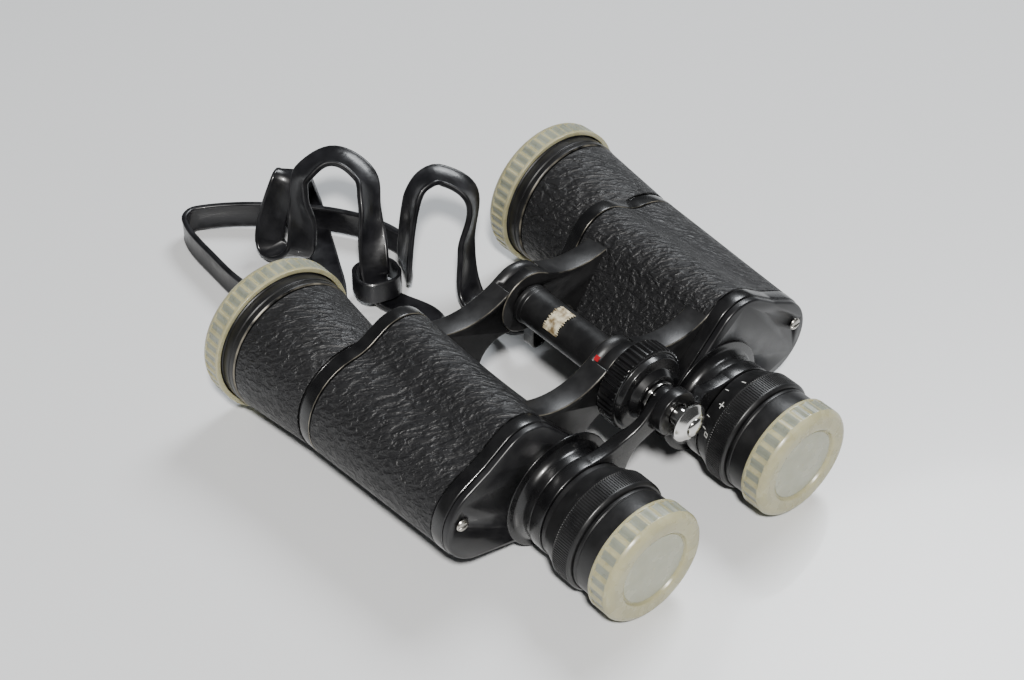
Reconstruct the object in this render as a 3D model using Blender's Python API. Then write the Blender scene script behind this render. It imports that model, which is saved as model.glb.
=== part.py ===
"""Centre-focus porro-prism binoculars, with their push-on caps and neck strap.

Lengths below are in millimetres and become metres when a mesh is made (MM).
Frame: X to the user's right, Y towards the objectives, Z up.  The origin lies on
the table, midway along the body, in the plane that mirrors one half onto the other.
Both halves come from the same functions; side is +1 for the right and -1 for the left.
"""
import math

import bmesh
import bpy
from mathutils import Vector

MM = 0.001
GAP = 0.3                     # clearance between pieces that touch on the real thing

# Optical axes and the hinge, all parallel to Y.
EYE_SPACING = 62.0
EYE_CAP_R = 18.43
OBJ_CAP_R = 24.75
EYE_X, EYE_Z = EYE_SPACING / 2, EYE_CAP_R
OBJ_X, OBJ_Z = 57.0, OBJ_CAP_R
HINGE_Z = 40.6

# Stations along Y, front to rear.
CAP_END_Y = 73.9              # outer faces of the caps
OBJ_CAP_DEPTH = 8.4
EYE_CAP_DEPTH = 8.24
LEATHER_END_Y = 59.4          # where the barrel covering meets the bezel
COVER_FRONT_Y = 31.4          # front cover, the flange band of the housing
COVER_BACK_Y = 26.7
FLANGE_Y = -26.2              # rear flange of the housing
HOUSING_END_Y = -30.5
PLATE_Y = -32.8               # outer face of the rear cover plate
TURRET_END_Y = -38.4          # end of the turret that guides the eyepiece
SHELF_FRONT_Y, SHELF_REAR_Y = -1.0, -3.2

# Prism housing walls, measured inwards from the flange outline.
SKIN_STEP = 1.1
WALL = 2.0
COVERING = 0.5                # leatherette, and the glue line under it
GLUE = 0.5
SHELL_STEPS = 6               # stations along the tapered shell

# Hinge lugs: each half has a knuckle at the front and one at the rear.
FRONT_LUG_Y = (24.4, 16.2)
REAR_LUG_Y = (-18.3, -26.4)
FRONT_LUG_R, REAR_LUG_R = 10.5, 9.0
TUBE_R = 6.17
PIN_R, PIN_BORE_R = 4.6, 3.4
SPINDLE_R = 3.0

# Focusing train behind the rear lugs.
WHEEL_Y = (-28.7, -35.3)
WHEEL_R = 13.6
LEFT_ARM_Y = (-41.0, -44.2)
RIGHT_ARM_Y = (-44.5, -48.2)
BRIDGE_RING_Y = (-38.8, -43.3)
BRIDGE_RING_R = 16.3
BARREL_R = 13.2
DIOPTRE_SHIFT = 1.5           # the right eyepiece is screwed in this much further

HUB_R = {-1: 5.7, 1: 7.2}     # bridge arm hubs, left and right
ARM_Y = {-1: LEFT_ARM_Y, 1: RIGHT_ARM_Y}

# Optics and their fittings.
BARREL_BORE_R = 15.0          # hole in the front cover
PRISM_HALF_LENGTH, PRISM_HALF_WIDTH, CLIP_THICK = 17.0, 7.3, 0.6
SCREW_X, SCREW_Z = 67.0, 28.0

STRAP_WIDTH, STRAP_THICK = 10.0, 2.0
STRAP_STATIONS = 76           # cross-sections along the whole strap
CURVE_STEPS = 8               # fine steps between two of the route's points
KEEPER_MIDDLE = (-5.6, 86.0)  # where the strap's first leg rises
KEEPER_HALF, KEEPER_WALL, KEEPER_Z = (7.9, 7.1), 1.2, (4.2, 12.4)
KEEPER_TURN = math.radians(-15)
STRAP_EYE_X, STRAP_EYE_Z = 14.6, 14.5

ROUND = 30                    # facets round a large turned piece
SMALL_ROUND = 20

BLACK_PAINT = (0.012, 0.012, 0.013)
CHARCOAL = (0.045, 0.046, 0.048)
LEATHERETTE = (0.016, 0.016, 0.017)
VINYL_BLACK = (0.014, 0.015, 0.018)
CAP_CREAM = (0.62, 0.58, 0.38)
CHROME = (0.78, 0.77, 0.75)
GLASS = (0.9, 0.95, 0.93)
RED = (0.45, 0.01, 0.02)
PAPER = (0.6, 0.5, 0.3)


def clear_scene():
    for thing in list(bpy.data.objects):
        bpy.data.objects.remove(thing, do_unlink=True)


def material(name, colour, roughness=0.4, metallic=0.0, transmission=0.0):
    made = bpy.data.materials.get(name)
    if made:
        return made
    made = bpy.data.materials.new(name)
    made.use_nodes = True
    shader = made.node_tree.nodes["Principled BSDF"]
    shader.inputs["Base Color"].default_value = (*colour, 1.0)
    shader.inputs["Roughness"].default_value = roughness
    shader.inputs["Metallic"].default_value = metallic
    shader.inputs["Transmission Weight"].default_value = transmission
    return made


def paint():
    return material("black_paint", BLACK_PAINT, 0.35)


def satin():
    return material("satin_black", BLACK_PAINT, 0.3)


def leatherette():
    return material("leatherette", LEATHERETTE, 0.75)


def glass():
    return material("glass", GLASS, 0.03, 0.0, 1.0)


def solid(name, points, faces, finish, smooth=35.0):
    """Make one closed object from points in millimetres, with its faces turned outwards."""
    mesh = bpy.data.meshes.new(name)
    mesh.from_pydata([Vector(p) * MM for p in points], [], faces)
    work = bmesh.new()
    work.from_mesh(mesh)
    if work.calc_volume(signed=True) < 0:
        bmesh.ops.reverse_faces(work, faces=work.faces)
    work.to_mesh(mesh)
    work.free()
    mesh.shade_smooth()
    mesh.set_sharp_from_angle(angle=math.radians(smooth))
    mesh.materials.append(finish)
    made = bpy.data.objects.new(name, mesh)
    bpy.context.scene.collection.objects.link(made)
    return made


def ring_faces(count, first, second):
    """Triangles between two rings, all split the same way so that nested skins stay parallel."""
    faces = []
    for i in range(count):
        after = (i + 1) % count
        faces.append((first + i, first + after, second + after))
        faces.append((first + i, second + after, second + i))
    return faces


def stacked(name, rings, finish, hollow=False, smooth=35.0):
    """Skin a stack of equal rings: capped at both ends, or closed on itself if hollow."""
    count = len(rings[0])
    points = [p for ring in rings for p in ring]
    faces = []
    for k in range(len(rings) - 1):
        faces += ring_faces(count, k * count, (k + 1) * count)
    last = (len(rings) - 1) * count
    if hollow:
        faces += ring_faces(count, last, 0)
    else:
        faces += [tuple(reversed(range(count))), tuple(range(last, last + count))]
    return solid(name, points, faces, finish, smooth)


def circle(x, z, radius, y, steps):
    """Ring about an axis along Y whose lowest point is one of its corners."""
    return [(x + radius * math.sin(2 * math.pi * i / steps), y,
             z - radius * math.cos(2 * math.pi * i / steps)) for i in range(steps)]


def turned(name, profile, axis, finish, steps=ROUND, hollow=False):
    """Turn a list of (radius, y) about an axis along Y through axis = (x, z)."""
    rings = [circle(axis[0], axis[1], radius, y, steps) for radius, y in profile]
    return stacked(name, rings, finish, hollow)


def tube(name, outer, inner, y_span, axis, finish, steps=ROUND):
    front, rear = y_span
    profile = [(outer, front), (outer, rear), (inner, rear), (inner, front)]
    return turned(name, profile, axis, finish, steps, hollow=True)


def tangent_outline(lobes, steps=7):
    """Outline in XZ wrapped round lobes (x, z, radius) taken anticlockwise.

    A negative radius is a hollow curve that the outline runs round on its inside.
    """
    normals = []
    for (ax, az, ar), (bx, bz, br) in zip(lobes, lobes[1:] + lobes[:1]):
        along = Vector((bx - ax, bz - az))
        lean = (ar - br) / along.length
        along.normalize()
        outward = Vector((along.y, -along.x))
        normals.append(outward * math.sqrt(max(0.0, 1 - lean * lean)) + along * lean)
    points = []
    for k, (x, z, radius) in enumerate(lobes):
        start = math.atan2(normals[k - 1].y, normals[k - 1].x)
        sweep = (math.atan2(normals[k].y, normals[k].x) - start) % (2 * math.pi)
        if radius < 0 and sweep > 1e-9:
            sweep -= 2 * math.pi
        for i in range(steps):
            angle = start + sweep * i / (steps - 1)
            points.append((x + radius * math.cos(angle), z + radius * math.sin(angle)))
    return points


def hollow_between(a, b, radius):
    """Lobe of negative radius that touches lobes a and b on the right of the way from a to b."""
    along = Vector((b[0] - a[0], b[1] - a[1]))
    reach_a, reach_b = a[2] + radius, b[2] + radius
    run = (reach_a ** 2 - reach_b ** 2 + along.length ** 2) / (2 * along.length)
    rise = math.sqrt(reach_a ** 2 - run ** 2)
    along.normalize()
    centre = Vector(a[:2]) + along * run + Vector((along.y, -along.x)) * rise
    return (centre.x, centre.y, -radius + 0.01)


def saddle_between(a, b, radius, depth):
    """Shallow hollow lobe, depth deep, halfway along the line that touches a and b."""
    along = Vector((b[0] - a[0], b[1] - a[1]))
    lean = (a[2] - b[2]) / along.length
    along.normalize()
    outward = Vector((along.y, -along.x)) * math.sqrt(1 - lean * lean) + along * lean
    middle = (Vector(a[:2]) + outward * a[2] + Vector(b[:2]) + outward * b[2]) / 2
    centre = middle + outward * (radius - depth)
    return (centre.x, centre.y, -radius)


def section(y, grow, side):
    """Ring of a prism housing at station y, moved outwards by grow."""
    t = (COVER_BACK_Y - y) / (COVER_BACK_Y - HOUSING_END_Y)
    eye_lobe = (EYE_X, EYE_Z, 13.5 + 2.0 * t)
    obj_lobe = (OBJ_X + 0.5 * t, OBJ_Z, 19.0 - 4.0 * t)
    top_lobe = (41.0 + 2.0 * t, 38.0 - t, 12.0)
    saddle = saddle_between(obj_lobe, top_lobe, 15.0, 1.4 - 0.9 * t)
    lobes = [(x, z, r + grow) for x, z, r in (eye_lobe, obj_lobe, saddle, top_lobe)]
    return [(side * x, y, z) for x, z in tangent_outline(lobes)]


def slab(name, outline, y_span, finish, side=1):
    """Extrude an XZ outline between two stations."""
    rings = [[(side * x, y, z) for x, z in outline] for y in y_span]
    return stacked(name, rings, finish)


def combine(target, tools, operation):
    """Apply a boolean with each tool in turn and remove the tools."""
    for tool in tools:
        step = target.modifiers.new(operation, "BOOLEAN")
        step.operation = operation
        step.object = tool
        shape = target.evaluated_get(bpy.context.evaluated_depsgraph_get())
        target.modifiers.clear()
        target.data = bpy.data.meshes.new_from_object(shape)
        bpy.data.objects.remove(tool, do_unlink=True)
    return target


def cut(target, *tools):
    return combine(target, tools, "DIFFERENCE")


def fuse(target, *tools):
    return combine(target, tools, "UNION")


def plug(radius, y_span, x, z, steps=SMALL_ROUND):
    """Plain round bar along Y, for cutting and joining."""
    rings = [circle(x, z, radius, y, steps) for y in y_span]
    return stacked("plug", rings, paint())


# ---------------------------------------------------------------- prism housings

def spread(first, last, count):
    return [first + (last - first) * k / (count - 1) for k in range(count)]


def lug_outline(knuckle_r, low_r, high_r, top_x, top_r, grow=0.0):
    """Outline of a hinge arm, from its knuckle into the side of the housing."""
    knuckle = (0.0, HINGE_Z, knuckle_r)
    low = (EYE_X, EYE_Z, 12.0)
    high = (top_x, 38.0, top_r)
    lobes = [knuckle, hollow_between(knuckle, low, low_r), low, high,
             hollow_between(high, knuckle, high_r)]
    return tangent_outline([(x, z, r + grow) for x, z, r in lobes])


def front_lug(grow=0.0):
    return lug_outline(FRONT_LUG_R, 9.4, 31.0, 41.0, 10.0, grow)


def rear_lug(grow=0.0):
    return lug_outline(REAR_LUG_R, 16.5, 25.0, 42.0, 10.0, grow)


def other_knuckle(lug_y, radius, side):
    """Clearance for the other half's knuckle, as a bar along the hinge."""
    front, rear = lug_y
    middle = (front + rear) / 2
    span = (middle + GAP / 2, rear - 1) if side < 0 else (front + 1, middle - GAP / 2)
    return plug(radius + GAP, span, 0, HINGE_Z, ROUND)


def prism_housing(name, side):
    """Cast body: tapered shell, prism shelf, rear flange and two hinge arms."""
    shell_front = COVER_BACK_Y - GAP
    rings = [section(y, -SKIN_STEP, side) for y in spread(shell_front, FLANGE_Y, SHELL_STEPS)]
    rings += [section(FLANGE_Y, 0, side), section(HOUSING_END_Y, 0, side)]
    body = stacked(name, rings, paint())
    arms = [slab("arm", front_lug(), FRONT_LUG_Y, paint(), side),
            slab("arm", rear_lug(), REAR_LUG_Y, paint(), side)]
    fuse(body, *arms)
    depth = -SKIN_STEP - WALL
    cut(body,
        stacked("cavity", [section(y, depth, side) for y in (shell_front + 1, SHELF_FRONT_Y)], paint()),
        stacked("cavity", [section(y, depth, side) for y in (SHELF_REAR_Y, HOUSING_END_Y - 1)], paint()))
    holes = [plug(7.6, (1, -5), side * x, z) for x, z in light_path()]
    cut(body, *holes,
        plug(PIN_R + GAP, (30, -30), 0, HINGE_Z),
        other_knuckle(FRONT_LUG_Y, FRONT_LUG_R, side),
        other_knuckle(REAR_LUG_Y, REAR_LUG_R, side))
    return body


def light_path():
    """Where light crosses the shelf: from the objective, between the prisms, to the eyepiece."""
    objective = Vector((OBJ_X, OBJ_Z))
    eye = Vector((EYE_X, EYE_Z))
    half = (eye - objective) / 2
    between = objective + half + Vector((half.y, -half.x))
    return [tuple(objective), tuple(between), tuple(eye)]


def housing_covering(name, side):
    """Leatherette sleeve round the housing, slotted where the hinge arms come out."""
    inner, outer = -SKIN_STEP + GLUE, -SKIN_STEP + GLUE + COVERING
    stations = spread(COVER_BACK_Y - GAP, FLANGE_Y, SHELL_STEPS)
    stations[0] -= GAP
    stations[-1] += GAP
    rings = [section(y, outer, side) for y in stations]
    rings += [section(y, inner, side) for y in reversed(stations)]
    sleeve = stacked(name, rings, leatherette(), hollow=True)
    cut(sleeve,
        slab("slot", front_lug(GAP), (FRONT_LUG_Y[0] + GAP, FRONT_LUG_Y[1] - GAP), paint(), side),
        slab("slot", rear_lug(GAP), (REAR_LUG_Y[0] + GAP, REAR_LUG_Y[1] - GAP), paint(), side))
    return sleeve


def front_cover(name, side):
    """Flange plate that closes the housing, with the barrel's hole and the strap's eye."""
    outline = [(x, z) for x, _, z in section(COVER_BACK_Y, 0, side)]
    thickness = (COVER_FRONT_Y, COVER_BACK_Y)
    through = (COVER_FRONT_Y + 1, COVER_BACK_Y - 1)
    plate = slab(name, outline, thickness, paint())
    eye_x, eye_z = side * STRAP_EYE_X, STRAP_EYE_Z
    fuse(plate, bar("eye", (eye_x - 3.0, eye_x + 3.0), thickness, (eye_z - 7.0, eye_z + 7.0), paint()),
         bar("root", (eye_x, eye_x + side * 6.0), thickness, (eye_z - 5.8, eye_z + 7.0), paint()))
    return cut(plate, plug(BARREL_BORE_R, through, side * OBJ_X, OBJ_Z, ROUND),
               bar("slot", (eye_x - 1.6, eye_x + 1.6), through, (eye_z - 5.5, eye_z + 5.5), paint()))


def rear_cover(name, side):
    """Cover plate with the turret that guides the eyepiece barrel."""
    rings = [section(HOUSING_END_Y - GAP, -0.3, side), section(PLATE_Y + 0.5, -0.3, side),
             section(PLATE_Y, -0.9, side)]
    cover = stacked(name, rings, material("charcoal", CHARCOAL, 0.45))
    axis = (side * EYE_X, EYE_Z)
    turret = turned("turret", [(17.0, PLATE_Y + 0.6), (15.8, PLATE_Y - 1.6), (15.4, PLATE_Y - 2.6),
                               (15.4, TURRET_END_Y + 0.5), (14.9, TURRET_END_Y)], axis, paint())
    fuse(cover, turret)
    cut(cover, plug(BARREL_R + GAP, (HOUSING_END_Y + 2, TURRET_END_Y - 2), *axis, ROUND),
        plug(1.5, (HOUSING_END_Y + 2, PLATE_Y - 2), side * SCREW_X, SCREW_Z, 12))
    return cover


def slotted_screw(name, radius, thread_r, top_y, head, length, axis, finish):
    """Cheese-head screw along Y with its slotted head at the rear."""
    under = top_y + head
    screw = turned(name, [(radius - 0.4, top_y), (radius, top_y + 0.3), (radius, under),
                          (thread_r, under), (thread_r, under + length)], axis, finish, SMALL_ROUND)
    slot = bar("slot", (axis[0] - 2 * radius, axis[0] + 2 * radius), (top_y - 1, top_y + head * 0.45),
               (axis[1] - 0.35, axis[1] + 0.35), finish)
    return cut(screw, slot)


def bar(name, x_span, y_span, z_span, finish):
    """Rectangular block between pairs of limits."""
    rings = [[(x_span[0], y, z_span[0]), (x_span[1], y, z_span[0]),
              (x_span[1], y, z_span[1]), (x_span[0], y, z_span[1])] for y in y_span]
    return stacked(name, rings, finish)


def cover_screw(name, side):
    return slotted_screw(name, 2.1, 1.2, PLATE_Y - 1.2, 1.2 - GAP, 4.0, (side * SCREW_X, SCREW_Z),
                         material("nickel", CHROME, 0.25, 1.0))


# ---------------------------------------------------------------- prisms

def porro_prism(name, side, ends, base_y, apex_y):
    """Right-angle prism whose long face lies on the shelf, between two light crossings."""
    (ax, az), (bx, bz) = ends
    along = Vector((bx - ax, bz - az))
    middle = Vector((ax + bx, az + bz)) / 2
    along.normalize()
    across = Vector((-along.y, along.x)) * PRISM_HALF_WIDTH
    step = 1 if apex_y > base_y else -1
    shape = [(-PRISM_HALF_LENGTH, base_y), (PRISM_HALF_LENGTH, base_y),
             (PRISM_HALF_LENGTH - 1.2, base_y + 2.5 * step), (2.0, apex_y), (-2.0, apex_y),
             (1.2 - PRISM_HALF_LENGTH, base_y + 2.5 * step)]
    rings = []
    for edge in (-1, 1):
        rings.append([(side * (middle.x + along.x * u + across.x * edge), y,
                       middle.y + along.y * u + across.y * edge) for u, y in shape])
    return stacked(name, rings, glass())


def prism_clip(name, side, ends, base_y, apex_y):
    """Spring strap bent over the blunt edge of a prism, with a foot on the shelf at each side."""
    (ax, az), (bx, bz) = ends
    along = Vector((bx - ax, bz - az)).normalized()
    middle = Vector((ax + bx, az + bz)) / 2
    across = Vector((-along.y, along.x))
    step = 1 if apex_y > base_y else -1
    inside, outside = PRISM_HALF_WIDTH + GAP, PRISM_HALF_WIDTH + GAP + CLIP_THICK
    crest = apex_y + step * GAP
    strap = [(-outside, base_y), (-outside, crest + step * CLIP_THICK), (outside, crest + step * CLIP_THICK),
             (outside, base_y), (inside, base_y), (inside, crest), (-inside, crest), (-inside, base_y)]
    rings = []
    for edge in (-1.9, 1.9):
        rings.append([(side * (middle.x + along.x * edge + across.x * v), y,
                       middle.y + along.y * edge + across.y * v) for v, y in strap])
    return stacked(name, rings, material("spring_steel", (0.35, 0.36, 0.38), 0.35, 1.0))


# ---------------------------------------------------------------- objectives

def objective_barrel(name, side):
    """Conical tube with a spigot that screws into the front cover."""
    profile = [(18.4, COVER_FRONT_Y + GAP), (21.6, LEATHER_END_Y), (21.6, 68.0), (20.0, 68.0),
               (20.0, 57.0), (13.2, 33.5), (13.2, COVER_BACK_Y + 1.5),
               (BARREL_BORE_R - GAP, COVER_BACK_Y + 1.5), (BARREL_BORE_R - GAP, COVER_FRONT_Y + GAP)]
    return turned(name, profile, (side * OBJ_X, OBJ_Z), paint(), hollow=True)


def barrel_covering(name, side):
    front, rear = LEATHER_END_Y - GAP, COVER_FRONT_Y + 2 * GAP
    profile = [(21.9 + COVERING, front), (18.75 + COVERING, rear), (18.75, rear), (21.9, front)]
    return turned(name, profile, (side * OBJ_X, OBJ_Z), leatherette(), hollow=True)


def objective_bezel(name, side):
    """Retaining ring over the end of the barrel; the cap pushes on to it."""
    rear, lip, front = LEATHER_END_Y + GAP, 68.3, 70.7
    profile = [(22.8, rear + 1.0), (22.4, rear), (22.0, rear), (22.0, lip), (19.0, lip),
               (18.4, front), (22.4, front), (22.8, front - 0.6)]
    return turned(name, profile, (side * OBJ_X, OBJ_Z), satin(), hollow=True)


def lens(name, radius, front, rear, axis, steps=20):
    """Lens whose two surfaces are given as (edge station, centre station)."""
    spans = (0.12, 0.6, 1.0)
    profile = [(radius * t, front[1] + (front[0] - front[1]) * t * t) for t in spans]
    profile += [(radius * t, rear[1] + (rear[0] - rear[1]) * t * t) for t in reversed(spans)]
    return turned(name, profile, axis, glass(), steps)


def push_on_cap(name, axis, wall_r, face_r, grip_r, depth, face_y, mouth):
    """Soft cap with a rounded rim round a sunk disc; mouth is the Y direction it opens in."""
    stations = [(0.45 * face_r, 0.9), (face_r - 4.2, 0.9), (face_r - 3.4, 0.0), (face_r, 0.0),
                (wall_r, 1.9), (wall_r, depth), (grip_r, depth), (grip_r, 2.6), (0.45 * face_r, 2.6)]
    profile = [(radius, face_y + mouth * inwards) for radius, inwards in stations]
    return turned(name, profile, axis, material("cap_vinyl", CAP_CREAM, 0.5))


# ---------------------------------------------------------------- eyepieces

def eyepiece_barrel(name, side):
    """Guide tube held by the bridge ring; it slides in the turret."""
    return tube(name, BARREL_R, 11.8, (HOUSING_END_Y - 0.7, -56.0), (side * EYE_X, EYE_Z), paint())


def eyepiece_ring(name, side, shift):
    """Knurled outer ring: plain collar, flare, knurled band."""
    collar_y = BRIDGE_RING_Y[1] - (0.7 if side > 0 else GAP)
    profile = [(15.9, collar_y), (15.9, -45.2 + shift), (18.0, -50.3 + shift), (18.4, -50.8 + shift),
               (18.4, -57.2 + shift), (17.7, -58.0 + shift), (13.5, -58.0 + shift), (13.5, collar_y)]
    return turned(name, profile, (side * EYE_X, EYE_Z), paint(), hollow=True)


def eyecup(name, side, shift):
    """Smooth cup that the cap fits over, with the seat for the eye lens at its root."""
    profile = [(17.2, -58.3), (17.2, -70.9), (15.6, -70.9), (15.2, -61.5), (10.4, -61.5), (10.4, -58.3)]
    return turned(name, [(r, y + shift) for r, y in profile], (side * EYE_X, EYE_Z), satin(), hollow=True)


def arm_edge(reach, a_radius, b_radius, length, along):
    """Offset, from the line between two discs, of a hollow edge of radius reach that meets both."""
    to_a, to_b = a_radius + reach, b_radius + reach
    run = (to_a ** 2 - to_b ** 2 + length ** 2) / (2 * length)
    rise = math.sqrt(to_a ** 2 - run ** 2)
    return rise - math.sqrt(reach ** 2 - (along - run) ** 2)


def bridge_arm(name, side):
    """Hub on the focusing spindle, ring clamped on the eyepiece barrel, and the arm between."""
    hub = Vector((0.0, HINGE_Z))
    ring = Vector((EYE_X, EYE_Z))
    length = (ring - hub).length
    along = (ring - hub).normalized()
    up = Vector((-along.y, along.x))
    hub_front, hub_rear = ARM_Y[side]
    rings = []
    for k in range(8):
        run = 26.0 * k / 7
        top = arm_edge(25.0, 6.0, BRIDGE_RING_R, length, run)
        low = -min(9.4, arm_edge(15.0, 6.0, BRIDGE_RING_R, length, run))
        blend = min(1.0, max(0.0, (run - 7.5) / 10.5))
        front = hub_front + (BRIDGE_RING_Y[0] - hub_front) * blend
        rear = hub_rear + (BRIDGE_RING_Y[1] - hub_rear) * blend
        corners = [(top, front), (low, front), (low, rear), (top, rear)]
        spots = [(hub + along * run + up * offset, y) for offset, y in corners]
        rings.append([(side * spot.x, y, spot.y) for spot, y in spots])
    arm = stacked(name, rings, paint())
    fuse(arm, plug(HUB_R[side], ARM_Y[side], 0, HINGE_Z, 28),
         plug(BRIDGE_RING_R, BRIDGE_RING_Y, side * EYE_X, EYE_Z, ROUND))
    return cut(arm, plug(SPINDLE_R + GAP, (-36, -52), 0, HINGE_Z),
               plug(BARREL_R + GAP, (-36, -46), side * EYE_X, EYE_Z, ROUND))


# ---------------------------------------------------------------- hinge and focusing

def hinge_pieces():
    axis = (0.0, HINGE_Z)
    steel = material("steel", (0.5, 0.5, 0.5), 0.3, 1.0)
    tube("hinge_pin", PIN_R, PIN_BORE_R, (24.0, -26.2), axis, steel, 24)
    tube("hinge_tube", TUBE_R, PIN_R + GAP, (FRONT_LUG_Y[1] - GAP, REAR_LUG_Y[0] + GAP), axis, satin(), 28)
    turned("hinge_cap_screw", [(3.0, 28.0), (6.2, 27.0), (7.2, 25.6), (7.2, 24.7), (3.1, 24.7), (3.1, 17.0)],
           axis, satin(), 24)


def focus_pieces():
    axis = (0.0, HINGE_Z)
    chrome = material("chrome", CHROME, 0.12, 1.0)
    front, rear = WHEEL_Y
    wheel = [(8.0, REAR_LUG_Y[1] - GAP), (8.0, front), (WHEEL_R - 0.5, front), (WHEEL_R, front - 0.5),
             (WHEEL_R, rear), (12.2, rear), (11.8, rear - 1.8), (8.6, rear - 1.8), (7.2, rear - 3.9),
             (SPINDLE_R + GAP, rear - 3.9), (SPINDLE_R + GAP, REAR_LUG_Y[1] - GAP)]
    turned("focus_wheel", wheel, axis, paint(), hollow=True)
    tube("focus_collar", 5.9, SPINDLE_R + GAP, (-39.6, -40.7), axis, chrome, 28)
    turned("focus_spindle", [(SPINDLE_R, -8.0), (SPINDLE_R, -51.3)], axis, chrome, SMALL_ROUND)
    turned("spindle_end_screw", [(3.6, -51.6), (6.1, -52.6), (6.1, -53.2), (5.2, -55.0), (3.4, -56.0), (1.2, -56.5)],
           axis, chrome, 24)


def index_dot():
    """Painted pip on the left rear knuckle that reads against the other lug."""
    return patch("index_dot", REAR_LUG_R + GAP, 0.25, (-20.4, -22.0), (-50.0, -40.0),
                 material("red_paint", RED, 0.5))


def paper_label():
    return patch("paper_label", TUBE_R + GAP, 0.15, (5.5, -5.5), (-75.0, 15.0),
                 material("paper", PAPER, 0.85))


def patch(name, radius, thick, y_span, turn_span, finish):
    """Thin curved piece lying on the hinge line; angles are from straight up, to the right."""
    steps = 9
    rings = []
    for k in range(steps):
        turn = math.radians(turn_span[0] + (turn_span[1] - turn_span[0]) * k / (steps - 1))
        ring = []
        for r, y in ((radius, y_span[0]), (radius + thick, y_span[0]),
                     (radius + thick, y_span[1]), (radius, y_span[1])):
            ring.append((r * math.sin(turn), y, HINGE_Z + r * math.cos(turn)))
        rings.append(ring)
    return stacked(name, rings, finish)


# ---------------------------------------------------------------- neck strap

# Chosen by hand: (x, y, z) of the strap's middle line, and which way its width points there.
STRAP_ROUTE = [
    ((-14.6, 31.8, 14.5), (0.00, 0.00, 1.00)),
    ((-13.6, 42.0, 9.5), (0.30, 0.00, 0.90)),
    ((-8.0, 54.0, 5.3), (0.80, 0.00, 0.50)),
    ((0.0, 66.0, 1.9), (1.00, -0.10, 0.00)),
    ((-4.0, 82.0, 1.5), (0.90, 0.40, 0.00)),
    ((-5.6, 86.0, 5.5), (0.97, 0.20, 0.00)),
    ((-5.6, 87.0, 13.0), (0.83, -0.55, 0.00)),
    ((0.6, 97.0, 31.0), (0.93, 0.36, 0.00)),
    ((4.2, 104.3, 37.0), (0.85, 0.50, 0.00)),
    ((-0.8, 115.0, 40.9), (0.64, 0.76, 0.00)),
    ((-10.5, 119.0, 35.5), (0.30, 0.95, 0.00)),
    ((-12.8, 118.2, 30.0), (0.10, 0.99, 0.00)),
    ((-14.6, 115.2, 15.0), (-0.70, 0.70, 0.00)),
    ((-16.5, 116.5, 6.5), (-0.76, 0.50, 0.00)),
    ((-19.6, 126.5, 4.5), (-0.80, 0.50, 0.00)),
    ((-18.6, 128.6, 11.0), (-0.76, 0.64, 0.00)),
    ((-11.8, 127.6, 28.5), (-0.76, 0.64, 0.00)),
    ((-7.0, 130.2, 29.0), (-0.76, 0.64, 0.00)),
    ((2.6, 137.0, 8.5), (-0.76, 0.64, 0.00)),
    ((2.0, 133.5, 2.7), (-0.80, 0.60, 0.00)),
    ((-9.3, 110.1, 1.5), (-0.90, 0.42, 0.00)),
    ((-19.5, 92.0, 4.6), (-0.60, 0.50, 0.50)),
    ((-28.0, 87.5, 5.3), (0.00, 0.10, 1.00)),
    ((-40.5, 106.0, 5.3), (0.00, 0.00, 1.00)),
    ((-41.0, 133.0, 5.3), (0.00, 0.00, 1.00)),
    ((-37.6, 153.0, 5.3), (0.00, 0.00, 1.00)),
    ((-31.0, 156.0, 5.3), (0.00, 0.00, 1.00)),
    ((-9.3, 139.1, 6.3), (0.00, 0.00, 1.00)),
    ((8.5, 117.5, 6.3), (0.00, 0.00, 1.00)),
    ((15.0, 98.0, 5.3), (0.00, 0.00, 1.00)),
    ((6.0, 84.5, 7.5), (0.40, 0.70, 0.50)),
    ((4.0, 83.0, 14.0), (0.28, 0.96, 0.00)),
    ((8.2, 84.3, 34.5), (0.28, 0.96, 0.00)),
    ((13.0, 85.0, 40.2), (0.50, 0.86, 0.00)),
    ((20.0, 83.3, 41.2), (0.70, 0.70, 0.00)),
    ((26.2, 74.8, 34.5), (0.80, 0.60, 0.00)),
    ((20.5, 70.6, 18.0), (0.90, 0.42, 0.00)),
    ((16.6, 62.0, 3.1), (1.00, 0.10, 0.00)),
    ((15.2, 42.0, 8.5), (0.30, 0.00, 0.95)),
    ((14.6, 31.8, 14.5), (0.00, 0.00, 1.00)),
]


def smooth_route(route, count):
    """Evenly spaced stations on one smooth curve through the route's own points."""
    knots = [Vector(place) for place, _ in route]
    widths = [Vector(width) for _, width in route]
    fine = []
    for k in range(len(knots) - 1):
        near, far = knots[k], knots[k + 1]
        chord = (far - near).length
        slopes = [heading(knots, k) * chord, heading(knots, k + 1) * chord]
        for i in range(CURVE_STEPS):
            t = i / CURVE_STEPS
            ease = t * t * (3 - 2 * t)
            place = near.lerp(far, ease) + slopes[0] * (t * (1 - t) ** 2) - slopes[1] * (t * t * (1 - t))
            fine.append((place, widths[k].lerp(widths[k + 1], t)))
    fine.append((knots[-1], widths[-1]))
    travelled = [0.0]
    for (a, _), (b, _) in zip(fine, fine[1:]):
        travelled.append(travelled[-1] + (b - a).length)
    stations = []
    k = 0
    for wanted in spread(0.0, travelled[-1], count):
        while k < len(fine) - 2 and travelled[k + 1] < wanted:
            k += 1
        t = (wanted - travelled[k]) / (travelled[k + 1] - travelled[k])
        stations.append((fine[k][0].lerp(fine[k + 1][0], t), fine[k][1].lerp(fine[k + 1][1], t)))
    return stations


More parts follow.
